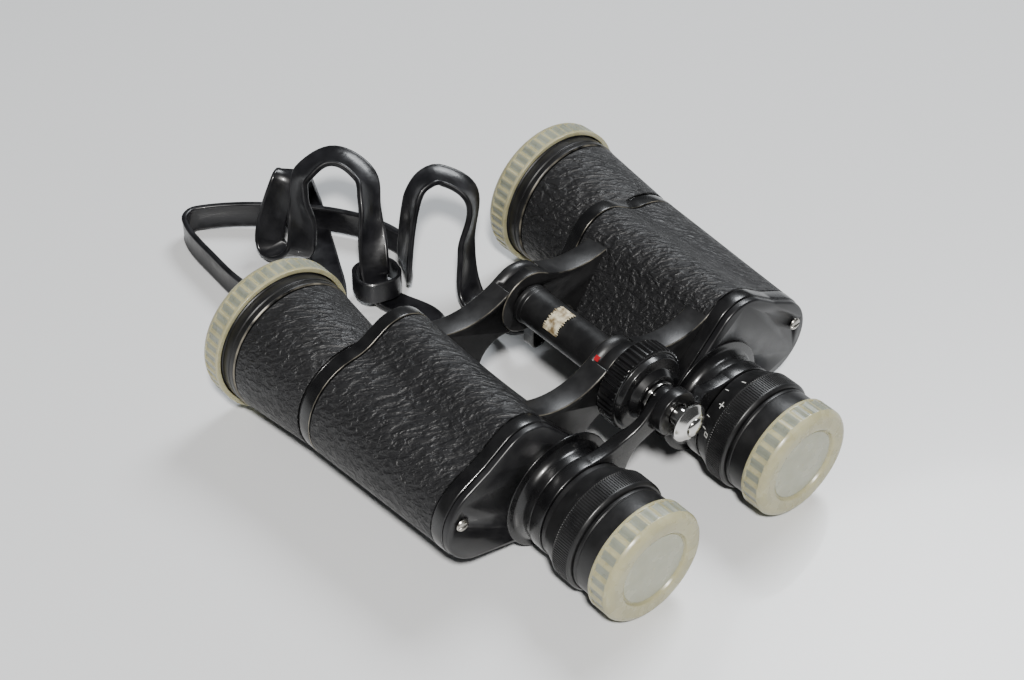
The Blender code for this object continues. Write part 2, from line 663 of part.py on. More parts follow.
def heading(knots, k):
    """Unit direction of the curve at knot k; its ends meet the strap eyes squarely."""
    if k == 0:
        return Vector((0.0, 1.0, 0.0))
    if k == len(knots) - 1:
        return Vector((0.0, -1.0, 0.0))
    return (knots[k + 1] - knots[k - 1]).normalized()


def neck_strap():
    """Flat vinyl strap, from the left eye round its loops to the right eye."""
    stations = smooth_route(STRAP_ROUTE, STRAP_STATIONS)
    places = [place for place, _ in stations]
    rings = []
    for k, (place, width) in enumerate(stations):
        along = heading(places, k)
        across = (width - along * width.dot(along)).normalized() * (STRAP_WIDTH / 2)
        out = along.cross(across).normalized() * (STRAP_THICK / 2)
        rings.append([place + across + out, place - across + out, place - across - out, place + across - out])
    return stacked("neck_strap", rings, material("vinyl", VINYL_BLACK, 0.35), smooth=50.0)


def strap_keeper():
    """Closed loop of the same vinyl that holds the strap's rising leg."""
    x, y = KEEPER_MIDDLE
    along = Vector((math.cos(KEEPER_TURN), math.sin(KEEPER_TURN)))
    across = Vector((-along.y, along.x))
    rings = []
    low, high = KEEPER_Z
    for inset, z in ((0.0, low), (0.0, high), (KEEPER_WALL, high), (KEEPER_WALL, low)):
        corners = rounded_box(KEEPER_HALF[0] - inset, KEEPER_HALF[1] - inset, 2.4 - inset)
        rings.append([(x + along.x * u + across.x * v, y + along.y * u + across.y * v, z) for u, v in corners])
    return stacked("strap_keeper", rings, material("vinyl", VINYL_BLACK, 0.35), hollow=True)


def rounded_box(half_length, half_depth, radius, steps=4):
    """Rectangle with round corners, anticlockwise."""
    points = []
    for k, (u, v) in enumerate(((1, 1), (-1, 1), (-1, -1), (1, -1))):
        for i in range(steps):
            angle = math.pi / 2 * (k + i / (steps - 1))
            points.append((u * (half_length - radius) + radius * math.cos(angle),
                           v * (half_depth - radius) + radius * math.sin(angle)))
    return points


def build_half(side):
    name = "right" if side > 0 else "left"
    shift = DIOPTRE_SHIFT if side > 0 else 0.0
    objective, between, eye = light_path()
    obj_axis = (side * OBJ_X, OBJ_Z)
    eye_axis = (side * EYE_X, EYE_Z)

    prism_housing(name + "_prism_housing", side)
    housing_covering(name + "_housing_covering", side)
    front_cover(name + "_front_cover", side)
    rear_cover(name + "_rear_cover", side)
    cover_screw(name + "_cover_screw", side)

    rear_ends, front_ends = (objective, between), (between, eye)
    porro_prism(name + "_rear_prism", side, rear_ends, SHELF_REAR_Y - GAP, SHELF_REAR_Y - PRISM_HALF_LENGTH)
    porro_prism(name + "_front_prism", side, front_ends, SHELF_FRONT_Y + GAP, SHELF_FRONT_Y + PRISM_HALF_LENGTH)
    prism_clip(name + "_rear_prism_clip", side, rear_ends, SHELF_REAR_Y - GAP, SHELF_REAR_Y - PRISM_HALF_LENGTH)
    prism_clip(name + "_front_prism_clip", side, front_ends, SHELF_FRONT_Y + GAP,
               SHELF_FRONT_Y + PRISM_HALF_LENGTH)

    objective_barrel(name + "_objective_barrel", side)
    barrel_covering(name + "_barrel_covering", side)
    objective_bezel(name + "_objective_bezel", side)
    lens(name + "_objective_crown", 19.6, (65.6, 67.8), (64.2, 61.9), obj_axis)
    lens(name + "_objective_flint", 19.6, (63.9, 61.6), (60.3, 60.0), obj_axis)
    push_on_cap(name + "_objective_cap", obj_axis, OBJ_CAP_R, OBJ_CAP_R - 1.0, 23.1, OBJ_CAP_DEPTH,
                CAP_END_Y, -1)

    eyepiece_barrel(name + "_eyepiece_barrel", side)
    bridge_arm(name + "_bridge_arm", side)
    eyepiece_ring("dioptre_ring" if side > 0 else "left_eyepiece_ring", side, shift)
    eyecup(name + "_eyecup", side, shift)
    lens(name + "_field_lens", 11.4, (-33.5, -31.6), (-35.0, -36.5), eye_axis, 16)
    lens(name + "_eye_lens", 10.1, (-59.2 + shift, -58.0 + shift), (-60.4 + shift, -61.4 + shift), eye_axis, 16)
    push_on_cap(name + "_eyepiece_cap", eye_axis, EYE_CAP_R, EYE_CAP_R - 1.6, 17.5, EYE_CAP_DEPTH,
                -CAP_END_Y + shift, 1)


# ---------------------------------------------------------------- moving bodies

def joint_axis(name, place, parent=None):
    """Empty on a joint's axis that its body's pieces hang from."""
    empty = bpy.data.objects.new(name, None)
    bpy.context.scene.collection.objects.link(empty)
    empty.location = Vector(place) * MM
    bpy.context.view_layer.update()
    if parent:
        keep_place(empty, parent)
    return empty


def keep_place(piece, parent):
    piece.parent = parent
    piece.matrix_parent_inverse = parent.matrix_world.inverted()
    bpy.context.view_layer.update()


def hang(axis, *names):
    for name in names:
        keep_place(bpy.data.objects[name], axis)


def join_bodies():
    hinge_line, left_eye, right_eye = (0, 0, HINGE_Z), (-EYE_X, 0, EYE_Z), (EYE_X, 0, EYE_Z)
    right_half = joint_axis("right_half_axis", hinge_line)
    right_eyepiece = joint_axis("right_eyepiece_axis", right_eye, right_half)
    right_ocular = joint_axis("right_ocular_axis", right_eye, right_eyepiece)
    left_eyepiece = joint_axis("left_eyepiece_axis", left_eye)
    hang(joint_axis("right_eyepiece_cap_axis", right_eye, right_ocular), "right_eyepiece_cap")
    hang(joint_axis("dioptre_axis", right_eye, right_ocular), "dioptre_ring")
    hang(right_ocular, "right_eyecup", "right_eye_lens")
    hang(right_eyepiece, "right_bridge_arm", "right_eyepiece_barrel", "right_field_lens")
    hang(joint_axis("right_objective_cap_axis", (OBJ_X, 0, OBJ_Z), right_half), "right_objective_cap")
    loose = [o.name for o in bpy.data.objects if o.name.startswith("right_") and o.data and not o.parent]
    hang(right_half, *loose)

    hang(joint_axis("left_eyepiece_cap_axis", left_eye, left_eyepiece), "left_eyepiece_cap")
    hang(left_eyepiece, "left_bridge_arm", "left_eyepiece_barrel", "left_eyepiece_ring", "left_eyecup",
         "left_field_lens", "left_eye_lens")
    hang(joint_axis("left_objective_cap_axis", (-OBJ_X, 0, OBJ_Z)), "left_objective_cap")
    hang(joint_axis("focus_wheel_axis", hinge_line), "focus_wheel")
    hang(joint_axis("focus_spindle_axis", hinge_line), "focus_spindle", "focus_collar", "spindle_end_screw")


def main():
    clear_scene()
    for side in (-1, 1):
        build_half(side)
    hinge_pieces()
    focus_pieces()
    index_dot()
    paper_label()
    neck_strap()
    strap_keeper()
    join_bodies()


main()
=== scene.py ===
"""Looks of the porro-prism binoculars: finer pieces, procedural materials, camera and light.

Lengths are in millimetres and become metres when a mesh is made (MM), except the strap's
route and what comes straight from the frame, which are in metres.  side is +1 for the
right half and -1 for the left.
"""
import math

import bmesh
import bpy
from mathutils import Matrix, Vector


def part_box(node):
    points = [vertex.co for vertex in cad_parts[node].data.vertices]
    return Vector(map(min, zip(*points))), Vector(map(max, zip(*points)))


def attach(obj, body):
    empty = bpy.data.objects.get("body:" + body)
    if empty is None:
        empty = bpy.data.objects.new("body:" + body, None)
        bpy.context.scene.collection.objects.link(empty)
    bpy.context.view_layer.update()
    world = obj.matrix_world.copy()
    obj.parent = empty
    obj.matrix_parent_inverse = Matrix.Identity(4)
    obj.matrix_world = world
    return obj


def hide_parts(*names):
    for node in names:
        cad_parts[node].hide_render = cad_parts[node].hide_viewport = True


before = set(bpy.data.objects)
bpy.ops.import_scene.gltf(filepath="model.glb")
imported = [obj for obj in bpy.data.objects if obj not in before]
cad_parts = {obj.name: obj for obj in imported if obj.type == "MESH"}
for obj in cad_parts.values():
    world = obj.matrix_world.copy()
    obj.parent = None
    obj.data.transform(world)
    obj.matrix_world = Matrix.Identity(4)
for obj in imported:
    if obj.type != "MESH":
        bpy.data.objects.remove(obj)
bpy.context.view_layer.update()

MM = 0.001
FINE = 120                    # facets round a smooth turned piece
ARC = 20                      # points on each lobe of an outline


def middle_of(node):
    """Middle of a CAD node's box, in millimetres."""
    low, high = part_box(node)
    return [(a + b) / 2 / MM for a, b in zip(low, high)]


def span_of(node, axis):
    """Lowest and highest place of a CAD node along an axis, in millimetres."""
    low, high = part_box(node)
    return low[axis] / MM, high[axis] / MM


# Driving places, read from the frame.
EYE_X, _, EYE_Z = middle_of("right_eyepiece_barrel")
OBJ_X, _, OBJ_Z = middle_of("right_objective_barrel")
HINGE_Z = middle_of("hinge_tube")[2]
COVER_BACK_Y, COVER_FRONT_Y = span_of("left_front_cover", 1)
TURRET_END_Y, PLATE_BACK_Y = span_of("left_rear_cover", 1)
HOUSING_END_Y = PLATE_BACK_Y + 0.3
FLANGE_Y = HOUSING_END_Y + 4.3
PLATE_Y = HOUSING_END_Y - 2.3
FRONT_LUG_Y = (24.4, 16.2)
REAR_LUG_Y = (-18.3, -26.4)
FRONT_LUG_R, REAR_LUG_R = 10.5, 9.0
SKIN_STEP = 1.1
WHEEL_RIBS, KNURLS = 44, 140
OBJ_FLUTES, EYE_FLUTES = 46, 27
DIOPTRE_SHIFT = span_of("right_eyecup", 1)[0] - span_of("left_eyecup", 1)[0]


# ---------------------------------------------------------------- camera, light and floor

def camera():
    """Camera at the reference view, looking down from beside the left eyepiece."""
    place = Vector((-0.29916, -0.31462, 0.41406))
    right = Vector((0.75808, -0.65197, 0.01601))
    up = Vector((0.41937, 0.50612, 0.75364))
    lens = bpy.data.cameras.new("camera")
    lens.sensor_width = 36.0
    lens.lens = 67.28
    eye = bpy.data.objects.new("camera", lens)
    bpy.context.scene.collection.objects.link(eye)
    turn = Matrix((right, up, right.cross(up))).transposed().to_4x4()
    eye.matrix_world = Matrix.Translation(place) @ turn
    bpy.context.scene.camera = eye


def area_light(name, direction, distance, size, power, colour):
    light = bpy.data.lights.new(name, "AREA")
    light.shape = "DISK"
    light.size = size
    light.energy = power
    light.color = colour
    lamp = bpy.data.objects.new(name, light)
    bpy.context.scene.collection.objects.link(lamp)
    towards = Vector(direction).normalized()
    lamp.location = towards * distance
    lamp.rotation_euler = towards.to_track_quat("Z", "Y").to_euler()


def studio():
    area_light("flash", (-0.50, -0.60, 0.96), 1.3, 0.12, 24.0, (1.0, 0.98, 0.95))
    area_light("window", (0.85, 0.25, 1.15), 1.5, 0.6, 19.0, (0.94, 0.97, 1.0))
    world = bpy.data.worlds.new("room")
    world.use_nodes = True
    background = world.node_tree.nodes["Background"]
    background.inputs["Color"].default_value = (0.86, 0.88, 0.90, 1.0)
    background.inputs["Strength"].default_value = 0.09
    bpy.context.scene.world = world


def floor():
    """Glossy white table."""
    bpy.ops.mesh.primitive_plane_add(size=6.0, location=(0.0, 0.0, -0.0003))
    table = bpy.context.object
    table.name = "table"
    table.data.materials.append(plain("table_white", (0.74, 0.75, 0.76), 0.30, coat=0.2))


# ---------------------------------------------------------------- materials

def plain(name, colour, roughness, metallic=0.0, coat=0.0, transmission=0.0):
    """Principled material, made once."""
    made = bpy.data.materials.get(name)
    if made:
        return made
    made = bpy.data.materials.new(name)
    made.use_nodes = True
    shader = made.node_tree.nodes["Principled BSDF"]
    shader.inputs["Base Color"].default_value = (*colour, 1.0)
    shader.inputs["Roughness"].default_value = roughness
    shader.inputs["Metallic"].default_value = metallic
    shader.inputs["Coat Weight"].default_value = coat
    shader.inputs["Coat Roughness"].default_value = 0.08
    shader.inputs["Transmission Weight"].default_value = transmission
    return made


def node_noise(tree, scale, detail, stretch=(1.0, 1.0, 1.0), turn=0.0, distortion=0.0):
    """Noise in the object's own space, stretched and turned about Z."""
    nodes, links = tree.nodes, tree.links
    place = nodes.new("ShaderNodeTexCoord")
    mapping = nodes.new("ShaderNodeMapping")
    mapping.vector_type = "TEXTURE"
    mapping.inputs["Rotation"].default_value[2] = turn
    mapping.inputs["Scale"].default_value = stretch
    noise = nodes.new("ShaderNodeTexNoise")
    noise.inputs["Scale"].default_value = scale
    noise.inputs["Detail"].default_value = detail
    noise.inputs["Distortion"].default_value = distortion
    links.new(place.outputs["Object"], mapping.inputs["Vector"])
    links.new(mapping.outputs["Vector"], noise.inputs["Vector"])
    return noise.outputs["Fac"]


def ramp(tree, source, low, high, at=(0.35, 0.65)):
    """Colour ramp between two greys or colours."""
    node = tree.nodes.new("ShaderNodeValToRGB")
    for stop, colour, where in zip(node.color_ramp.elements, (low, high), at):
        stop.color = (*colour, 1.0)
        stop.position = where
    tree.links.new(source, node.inputs["Fac"])
    return node.outputs["Color"]


def bump(tree, height, strength, distance, under=None):
    node = tree.nodes.new("ShaderNodeBump")
    node.inputs["Strength"].default_value = strength
    node.inputs["Distance"].default_value = distance
    tree.links.new(height, node.inputs["Height"])
    if under:
        tree.links.new(under, node.inputs["Normal"])
    return node.outputs["Normal"]


def varied(name, dark, light, roughness, rough_spread, grain, grain_depth, metallic=0.0, coat=0.0,
           mottling=180.0):
    """Surface with mottled colour and roughness and a fine bumpy skin."""
    made = bpy.data.materials.get(name)
    if made:
        return made
    made = plain(name, dark, roughness, metallic, coat)
    tree = made.node_tree
    shader = tree.nodes["Principled BSDF"]
    mottle = node_noise(tree, mottling, 4.0)
    tree.links.new(ramp(tree, mottle, dark, light), shader.inputs["Base Color"])
    low, high = roughness - rough_spread, roughness + rough_spread
    tree.links.new(ramp(tree, mottle, (low,) * 3, (high,) * 3), shader.inputs["Roughness"])
    tree.links.new(bump(tree, node_noise(tree, grain, 3.0), 0.35, grain_depth), shader.inputs["Normal"])
    return made


def gloss_paint():
    return varied("gloss_black_paint", (0.004, 0.004, 0.0045), (0.008, 0.008, 0.0085), 0.27, 0.05,
                  900.0, 0.00004, coat=0.25)


def satin_paint():
    return varied("satin_black_paint", (0.007, 0.007, 0.0075), (0.012, 0.012, 0.0125), 0.38, 0.06,
                  1400.0, 0.00006)


def charcoal_paint():
    return varied("charcoal_enamel", (0.007, 0.007, 0.008), (0.012, 0.012, 0.013), 0.34, 0.05,
                  1600.0, 0.00005)


def strap_vinyl():
    return varied("black_vinyl", (0.005, 0.005, 0.006), (0.010, 0.010, 0.012), 0.36, 0.08,
                  700.0, 0.00012, coat=0.12)


def chrome():
    return varied("chrome_plate", (0.60, 0.59, 0.57), (0.72, 0.71, 0.69), 0.14, 0.05, 500.0, 0.00003, metallic=1.0)


# Painted highlight: mottled bright cream metal colour painted along edges where a lit bevel shines.
def painted_edge_highlight():
    return varied("painted_highlight_edge", (0.010, 0.010, 0.010), (0.22, 0.20, 0.16), 0.34, 0.10,
                  1500.0, 0.00006, metallic=0.4)


def leatherette():
    """Pebbled cloth with creases drawn out along one diagonal."""
    name = "pebbled_leatherette"
    made = bpy.data.materials.get(name)
    if made:
        return made
    made = plain(name, (0.007, 0.007, 0.008), 0.42)
    tree = made.node_tree
    shader = tree.nodes["Principled BSDF"]
    creases = node_noise(tree, 620.0, 2.5, stretch=(3.2, 1.0, 1.0), turn=math.radians(-41), distortion=0.45)
    pebbles = node_noise(tree, 1500.0, 2.0, stretch=(1.4, 1.0, 1.0), turn=math.radians(-41))
    relief = ramp(tree, creases, (0.0,) * 3, (1.0,) * 3, at=(0.36, 0.62))
    first = bump(tree, relief, 1.0, 0.00042)
    tree.links.new(bump(tree, pebbles, 0.5, 0.00025, first), shader.inputs["Normal"])
    # Painted shade: the base colour is darker in the crease hollows and lighter on the raised parts, following the
    # relief's noise.
    tree.links.new(ramp(tree, creases, (0.006, 0.006, 0.007), (0.014, 0.014, 0.015)), shader.inputs["Base Color"])
    tree.links.new(ramp(tree, creases, (0.58,) * 3, (0.40,) * 3), shader.inputs["Roughness"])
    return made


def cap_vinyl(name, dark, light, roughness):
    """Cloudy soft vinyl that lets a little light through."""
    made = bpy.data.materials.get(name)
    if made:
        return made
    made = varied(name, dark, light, roughness, 0.05, 400.0, 0.00008)
    shader = made.node_tree.nodes["Principled BSDF"]
    shader.inputs["Subsurface Weight"].default_value = 0.35
    shader.inputs["Subsurface Radius"].default_value = (1.0, 0.8, 0.4)
    shader.inputs["Subsurface Scale"].default_value = 0.002
    return made


def cap_cream():
    return cap_vinyl("cap_cream", (0.34, 0.32, 0.19), (0.40, 0.38, 0.24), 0.28)


def cap_window():
    return cap_vinyl("cap_pane", (0.21, 0.225, 0.18), (0.27, 0.285, 0.23), 0.30)


def cap_disc():
    return cap_vinyl("cap_disc", (0.32, 0.325, 0.24), (0.37, 0.375, 0.29), 0.24)


def aged_paper():
    return varied("aged_paper", (0.16, 0.11, 0.05), (0.66, 0.60, 0.44), 0.72, 0.08, 800.0, 0.0002, mottling=520.0)


def glass():
    return plain("lens_glass", (0.92, 0.96, 0.95), 0.02, transmission=1.0)


# ---------------------------------------------------------------- mesh helpers

def solid(name, points, faces, finish, smooth=40.0, places=None):
    """Closed mesh from points in millimetres; places gives each face's material index."""
    mesh = bpy.data.meshes.new(name)
    mesh.from_pydata([Vector(p) * MM for p in points], [], faces)
    finishes = finish if isinstance(finish, list) else [finish]
    for each in finishes:
        mesh.materials.append(each)
    if places:
        mesh.polygons.foreach_set("material_index", places)
    work = bmesh.new()
    work.from_mesh(mesh)
    if work.calc_volume(signed=True) < 0:
        bmesh.ops.reverse_faces(work, faces=work.faces)
    work.to_mesh(mesh)
    work.free()
    mesh.shade_smooth()
    mesh.set_sharp_from_angle(angle=math.radians(smooth))
    made = bpy.data.objects.new(name, mesh)
    bpy.context.scene.collection.objects.link(made)
    return made


def stacked(name, rings, finish, hollow=False, smooth=40.0, place=None):
    """Skin a stack of equal rings; place(k, i) picks the material of face i after ring k."""
    count = len(rings[0])
    points = [p for ring in rings for p in ring]
    faces, places = [], []
    last = len(rings) - 1
    for k in range(len(rings) if hollow else last):
        a, b = k * count, ((k + 1) % len(rings)) * count
        for i in range(count):
            j = (i + 1) % count
            faces.append((a + i, a + j, b + j, b + i))
            places.append(place(k, i) if place else 0)
    if not hollow:
        faces += [tuple(reversed(range(count))), tuple(range(last * count, (last + 1) * count))]
        places += [place(-1, 0), place(last, 0)] if place else [0, 0]
    return solid(name, points, faces, finish, smooth, places)


def circle(x, z, radius, y, steps, ripple=None):
    """Ring about an axis along Y; ripple(angle) is added to the radius."""
    ring = []
    for i in range(steps):
        angle = 2 * math.pi * i / steps
        reach = radius + (ripple(angle) if ripple else 0.0)
        ring.append((x + reach * math.sin(angle), y, z - reach * math.cos(angle)))
    return ring


def rounded(profile, radius, closed=True, steps=3):
    """Replace each corner of a (radius, y) profile by a short curve."""
    count = len(profile)
    out = []
    for k in range(count):
        here = Vector(profile[k])
        if not closed and k in (0, count - 1):
            out.append(tuple(here))
            continue
        before, after = Vector(profile[k - 1]) - here, Vector(profile[(k + 1) % count]) - here
        reach = min(radius, before.length * 0.45, after.length * 0.45)
        start, end = here + before.normalized() * reach, here + after.normalized() * reach
        for i in range(steps + 1):
            t = i / steps
            out.append(tuple(start * (1 - t) ** 2 + here * (2 * t * (1 - t)) + end * t ** 2))
    return out


def turned(name, profile, axis, finish, steps=FINE, soften=0.3, hollow=True, ripples=None, place=None):
    """Turn a profile of (radius, y) about axis (x, z); ripples(radius, y) gives that ring's ripple."""
    shape = rounded(profile, soften, hollow) if soften else profile
    rings = []
    for radius, y in shape:
        ripple = ripples(radius, y) if ripples else None
        rings.append(circle(axis[0], axis[1], radius, y, steps, ripple))
    picked = (lambda k, i: place(shape[k], i)) if place else None
    return stacked(name, rings, finish, hollow, place=picked)


def tangent_outline(lobes, steps=ARC):
    """Outline in XZ wrapped round lobes (x, z, radius) taken anticlockwise; negative is hollow."""
    normals = []
    for (ax, az, ar), (bx, bz, br) in zip(lobes, lobes[1:] + lobes[:1]):
        along = Vector((bx - ax, bz - az))
        lean = (ar - br) / along.length
        along.normalize()
        outward = Vector((along.y, -along.x))
        normals.append(outward * math.sqrt(max(0.0, 1 - lean * lean)) + along * lean)
    points = []
    for k, (x, z, radius) in enumerate(lobes):
        start = math.atan2(normals[k - 1].y, normals[k - 1].x)
        sweep = (math.atan2(normals[k].y, normals[k].x) - start) % (2 * math.pi)
        if radius < 0 and sweep > 1e-9:
            sweep -= 2 * math.pi
        for i in range(steps):
            angle = start + sweep * i / (steps - 1)
            points.append((x + radius * math.cos(angle), z + radius * math.sin(angle)))
    return points


def hollow_between(a, b, radius):
    """Lobe of negative radius that touches lobes a and b on the right of the way from a to b."""
    along = Vector((b[0] - a[0], b[1] - a[1]))
    reach_a, reach_b = a[2] + radius, b[2] + radius
    run = (reach_a ** 2 - reach_b ** 2 + along.length ** 2) / (2 * along.length)
    rise = math.sqrt(reach_a ** 2 - run ** 2)
    along.normalize()
    centre = Vector(a[:2]) + along * run + Vector((along.y, -along.x)) * rise
    return (centre.x, centre.y, -radius + 0.01)


def saddle_between(a, b, radius, depth):
    """Shallow hollow lobe, depth deep, halfway along the line that touches a and b."""
    along = Vector((b[0] - a[0], b[1] - a[1]))
    lean = (a[2] - b[2]) / along.length
    along.normalize()
    outward = Vector((along.y, -along.x)) * math.sqrt(1 - lean * lean) + along * lean
    middle = (Vector(a[:2]) + outward * a[2] + Vector(b[:2]) + outward * b[2]) / 2
    centre = middle + outward * (radius - depth)
    return (centre.x, centre.y, -radius)


def section(y, grow, side):
    """Ring of a prism housing at station y, moved outwards by grow."""
    t = (COVER_BACK_Y - y) / (COVER_BACK_Y - HOUSING_END_Y)
    eye_lobe = (EYE_X, EYE_Z, 13.5 + 2.0 * t)
    obj_lobe = (OBJ_X + 0.5 * t, OBJ_Z, 19.0 - 4.0 * t)
    top_lobe = (41.0 + 2.0 * t, 38.0 - t, 12.0)
    saddle = saddle_between(obj_lobe, top_lobe, 15.0, 1.4 - 0.9 * t)
    lobes = [(x, z, r + grow) for x, z, r in (eye_lobe, obj_lobe, saddle, top_lobe)]
    return [(side * x, y, z) for x, z in tangent_outline(lobes)]


def spread(first, last, count):
    return [first + (last - first) * k / (count - 1) for k in range(count)]


def joined(name, pieces):
    """One object from several."""
    work = bmesh.new()
    finishes = []
    for piece in pieces:
        start = len(work.faces)
        indices = []
        for finish in piece.data.materials:
            if finish not in finishes:
                finishes.append(finish)
            indices.append(finishes.index(finish))
        work.from_mesh(piece.data)
        work.faces.ensure_lookup_table()
        for face in list(work.faces)[start:]:
            face.material_index = indices[face.material_index]
        bpy.data.objects.remove(piece, do_unlink=True)
    mesh = bpy.data.meshes.new(name)
    work.to_mesh(mesh)
    work.free()
    for finish in finishes:
        mesh.materials.append(finish)
    made = bpy.data.objects.new(name, mesh)
    bpy.context.scene.collection.objects.link(made)
    return made


def cut(target, *tools):
    for tool in tools:
        step = target.modifiers.new("cut", "BOOLEAN")
        step.operation = "DIFFERENCE"
        step.object = tool
        shape = target.evaluated_get(bpy.context.evaluated_depsgraph_get())
        target.modifiers.clear()
        target.data = bpy.data.meshes.new_from_object(shape)
        bpy.data.objects.remove(tool, do_unlink=True)
    return target


def bevelled(target, width, segments=2):
    """Round the sharp edges and keep the smooth faces smooth."""
    step = target.modifiers.new("bevel", "BEVEL")
    step.width = width * MM
    step.segments = segments
    step.limit_method = "ANGLE"
    step.angle_limit = math.radians(35)
    step.harden_normals = False
    shape = target.evaluated_get(bpy.context.evaluated_depsgraph_get())
    target.modifiers.clear()
    target.data = bpy.data.meshes.new_from_object(shape)
    target.data.shade_smooth()
    target.data.set_sharp_from_angle(angle=math.radians(50))
    return target


def place(piece, body, *nodes, slot=None):
    """Ride on a body and stand for CAD nodes, which it hides; slot is not used."""
    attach(piece, body)
    if nodes:
        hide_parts(*nodes)
    return piece


def half_name(side):
    return "right" if side > 0 else "left"


# ---------------------------------------------------------------- neck strap

STRAP_WIDTH, STRAP_THICK = 0.010, 0.002
STRAP_BEAD = 0.0007           # width of the rounded bead along each edge
STRAP_WEB = 0.0015            # thickness between the beads
STRAP_STATIONS = 420
CURVE_STEPS = 16
STRAP_EYE = (0.0146, 0.0318, 0.0145)
KEEPER_MIDDLE = (-5.6, 86.0)  # where the strap's first leg rises

# The strap's middle line in metres, and which way its width points there.
STRAP_ROUTE = [
    ((-0.0146, 0.0318, 0.0145), (0.00, 0.00, 1.00)),
    ((-0.0136, 0.0420, 0.0095), (0.30, 0.00, 0.90)),
    ((-0.0080, 0.0540, 0.0053), (0.80, 0.00, 0.50)),
    ((0.0000, 0.0660, 0.0019), (1.00, -0.10, 0.00)),
    ((-0.0040, 0.0820, 0.0015), (0.90, 0.40, 0.00)),
    ((-0.0056, 0.0860, 0.0055), (0.97, 0.20, 0.00)),
    ((-0.0056, 0.0870, 0.0130), (0.83, -0.55, 0.00)),
    ((0.0006, 0.0970, 0.0310), (0.93, 0.36, 0.00)),
    ((0.0042, 0.1043, 0.0370), (0.85, 0.50, 0.00)),
    ((-0.0008, 0.1150, 0.0409), (0.64, 0.76, 0.00)),
    ((-0.0105, 0.1190, 0.0355), (0.30, 0.95, 0.00)),
    ((-0.0128, 0.1182, 0.0300), (0.10, 0.99, 0.00)),
    ((-0.0146, 0.1152, 0.0150), (-0.70, 0.70, 0.00)),
    ((-0.0165, 0.1165, 0.0065), (-0.76, 0.50, 0.00)),
    ((-0.0196, 0.1265, 0.0045), (-0.80, 0.50, 0.00)),
    ((-0.0186, 0.1286, 0.0110), (-0.76, 0.64, 0.00)),
    ((-0.0118, 0.1276, 0.0285), (-0.76, 0.64, 0.00)),
    ((-0.0070, 0.1302, 0.0290), (-0.76, 0.64, 0.00)),
    ((0.0026, 0.1370, 0.0085), (-0.76, 0.64, 0.00)),
    ((0.0020, 0.1335, 0.0027), (-0.80, 0.60, 0.00)),
    ((-0.0093, 0.1101, 0.0015), (-0.90, 0.42, 0.00)),
    ((-0.0195, 0.0920, 0.0046), (-0.60, 0.50, 0.50)),
    ((-0.0280, 0.0875, 0.0053), (0.00, 0.10, 1.00)),
    ((-0.0405, 0.1060, 0.0053), (0.00, 0.00, 1.00)),
    ((-0.0410, 0.1330, 0.0053), (0.00, 0.00, 1.00)),
    ((-0.0376, 0.1530, 0.0053), (0.00, 0.00, 1.00)),
    ((-0.0310, 0.1560, 0.0053), (0.00, 0.00, 1.00)),
    ((-0.0093, 0.1391, 0.0063), (0.00, 0.00, 1.00)),
    ((0.0085, 0.1175, 0.0063), (0.00, 0.00, 1.00)),
    ((0.0150, 0.0980, 0.0053), (0.00, 0.00, 1.00)),
    ((0.0060, 0.0845, 0.0075), (0.40, 0.70, 0.50)),
    ((0.0040, 0.0830, 0.0140), (0.28, 0.96, 0.00)),
    ((0.0082, 0.0843, 0.0345), (0.28, 0.96, 0.00)),
    ((0.0130, 0.0850, 0.0402), (0.50, 0.86, 0.00)),
    ((0.0200, 0.0833, 0.0412), (0.70, 0.70, 0.00)),
    ((0.0262, 0.0748, 0.0345), (0.80, 0.60, 0.00)),
    ((0.0205, 0.0706, 0.0180), (0.90, 0.42, 0.00)),
    ((0.0166, 0.0620, 0.0031), (1.00, 0.10, 0.00)),
    ((0.0152, 0.0420, 0.0085), (0.30, 0.00, 0.95)),
    ((0.0146, 0.0318, 0.0145), (0.00, 0.00, 1.00)),
]


def heading(knots, k):
    """Unit direction of the curve at knot k; its ends meet the strap eyes squarely."""
    if k == 0:
        return Vector((0.0, 1.0, 0.0))
    if k == len(knots) - 1:
        return Vector((0.0, -1.0, 0.0))
    return (knots[k + 1] - knots[k - 1]).normalized()


def smooth_route():
    """Evenly spaced (place, width direction) on one smooth curve through the route's points."""
    knots = [Vector(spot) for spot, _ in STRAP_ROUTE]
    widths = [Vector(width) for _, width in STRAP_ROUTE]
    fine = []
    for k in range(len(knots) - 1):
        near, far = knots[k], knots[k + 1]
        chord = (far - near).length
        leaving, arriving = heading(knots, k) * chord, heading(knots, k + 1) * chord
        for i in range(CURVE_STEPS):
            t = i / CURVE_STEPS
            ease = t * t * (3 - 2 * t)
            spot = near.lerp(far, ease) + leaving * (t * (1 - t) ** 2) - arriving * (t * t * (1 - t))
            fine.append((spot, widths[k].lerp(widths[k + 1], ease)))
    fine.append((knots[-1], widths[-1]))
    travelled = [0.0]
    for (a, _), (b, _) in zip(fine, fine[1:]):
        travelled.append(travelled[-1] + (b - a).length)
    stations = []
    k = 0
    for wanted in spread(0.0, travelled[-1], STRAP_STATIONS):
        while k < len(fine) - 2 and travelled[k + 1] < wanted:
            k += 1
        t = (wanted - travelled[k]) / (travelled[k + 1] - travelled[k])
        stations.append((fine[k][0].lerp(fine[k + 1][0], t), fine[k][1].lerp(fine[k + 1][1], t)))
    return stations


def strap_profile():
    """Half-width and half-thickness round one cross-section: flat web, rounded bead at each edge."""
    half, web, bead = STRAP_WIDTH / 2, STRAP_WEB / 2, STRAP_THICK / 2
    inner = half - 2 * STRAP_BEAD
    edge = [(inner, web), (inner + 0.3 * STRAP_BEAD, bead * 0.9), (inner + 0.7 * STRAP_BEAD, bead),
            (half - 0.5 * STRAP_BEAD, bead * 0.96), (half - 0.12 * STRAP_BEAD, bead * 0.6), (half, 0.0)]
    top = edge + [(u, -v) for u, v in reversed(edge[:-1])]
    return top + [(-u, -v) for u, v in top]


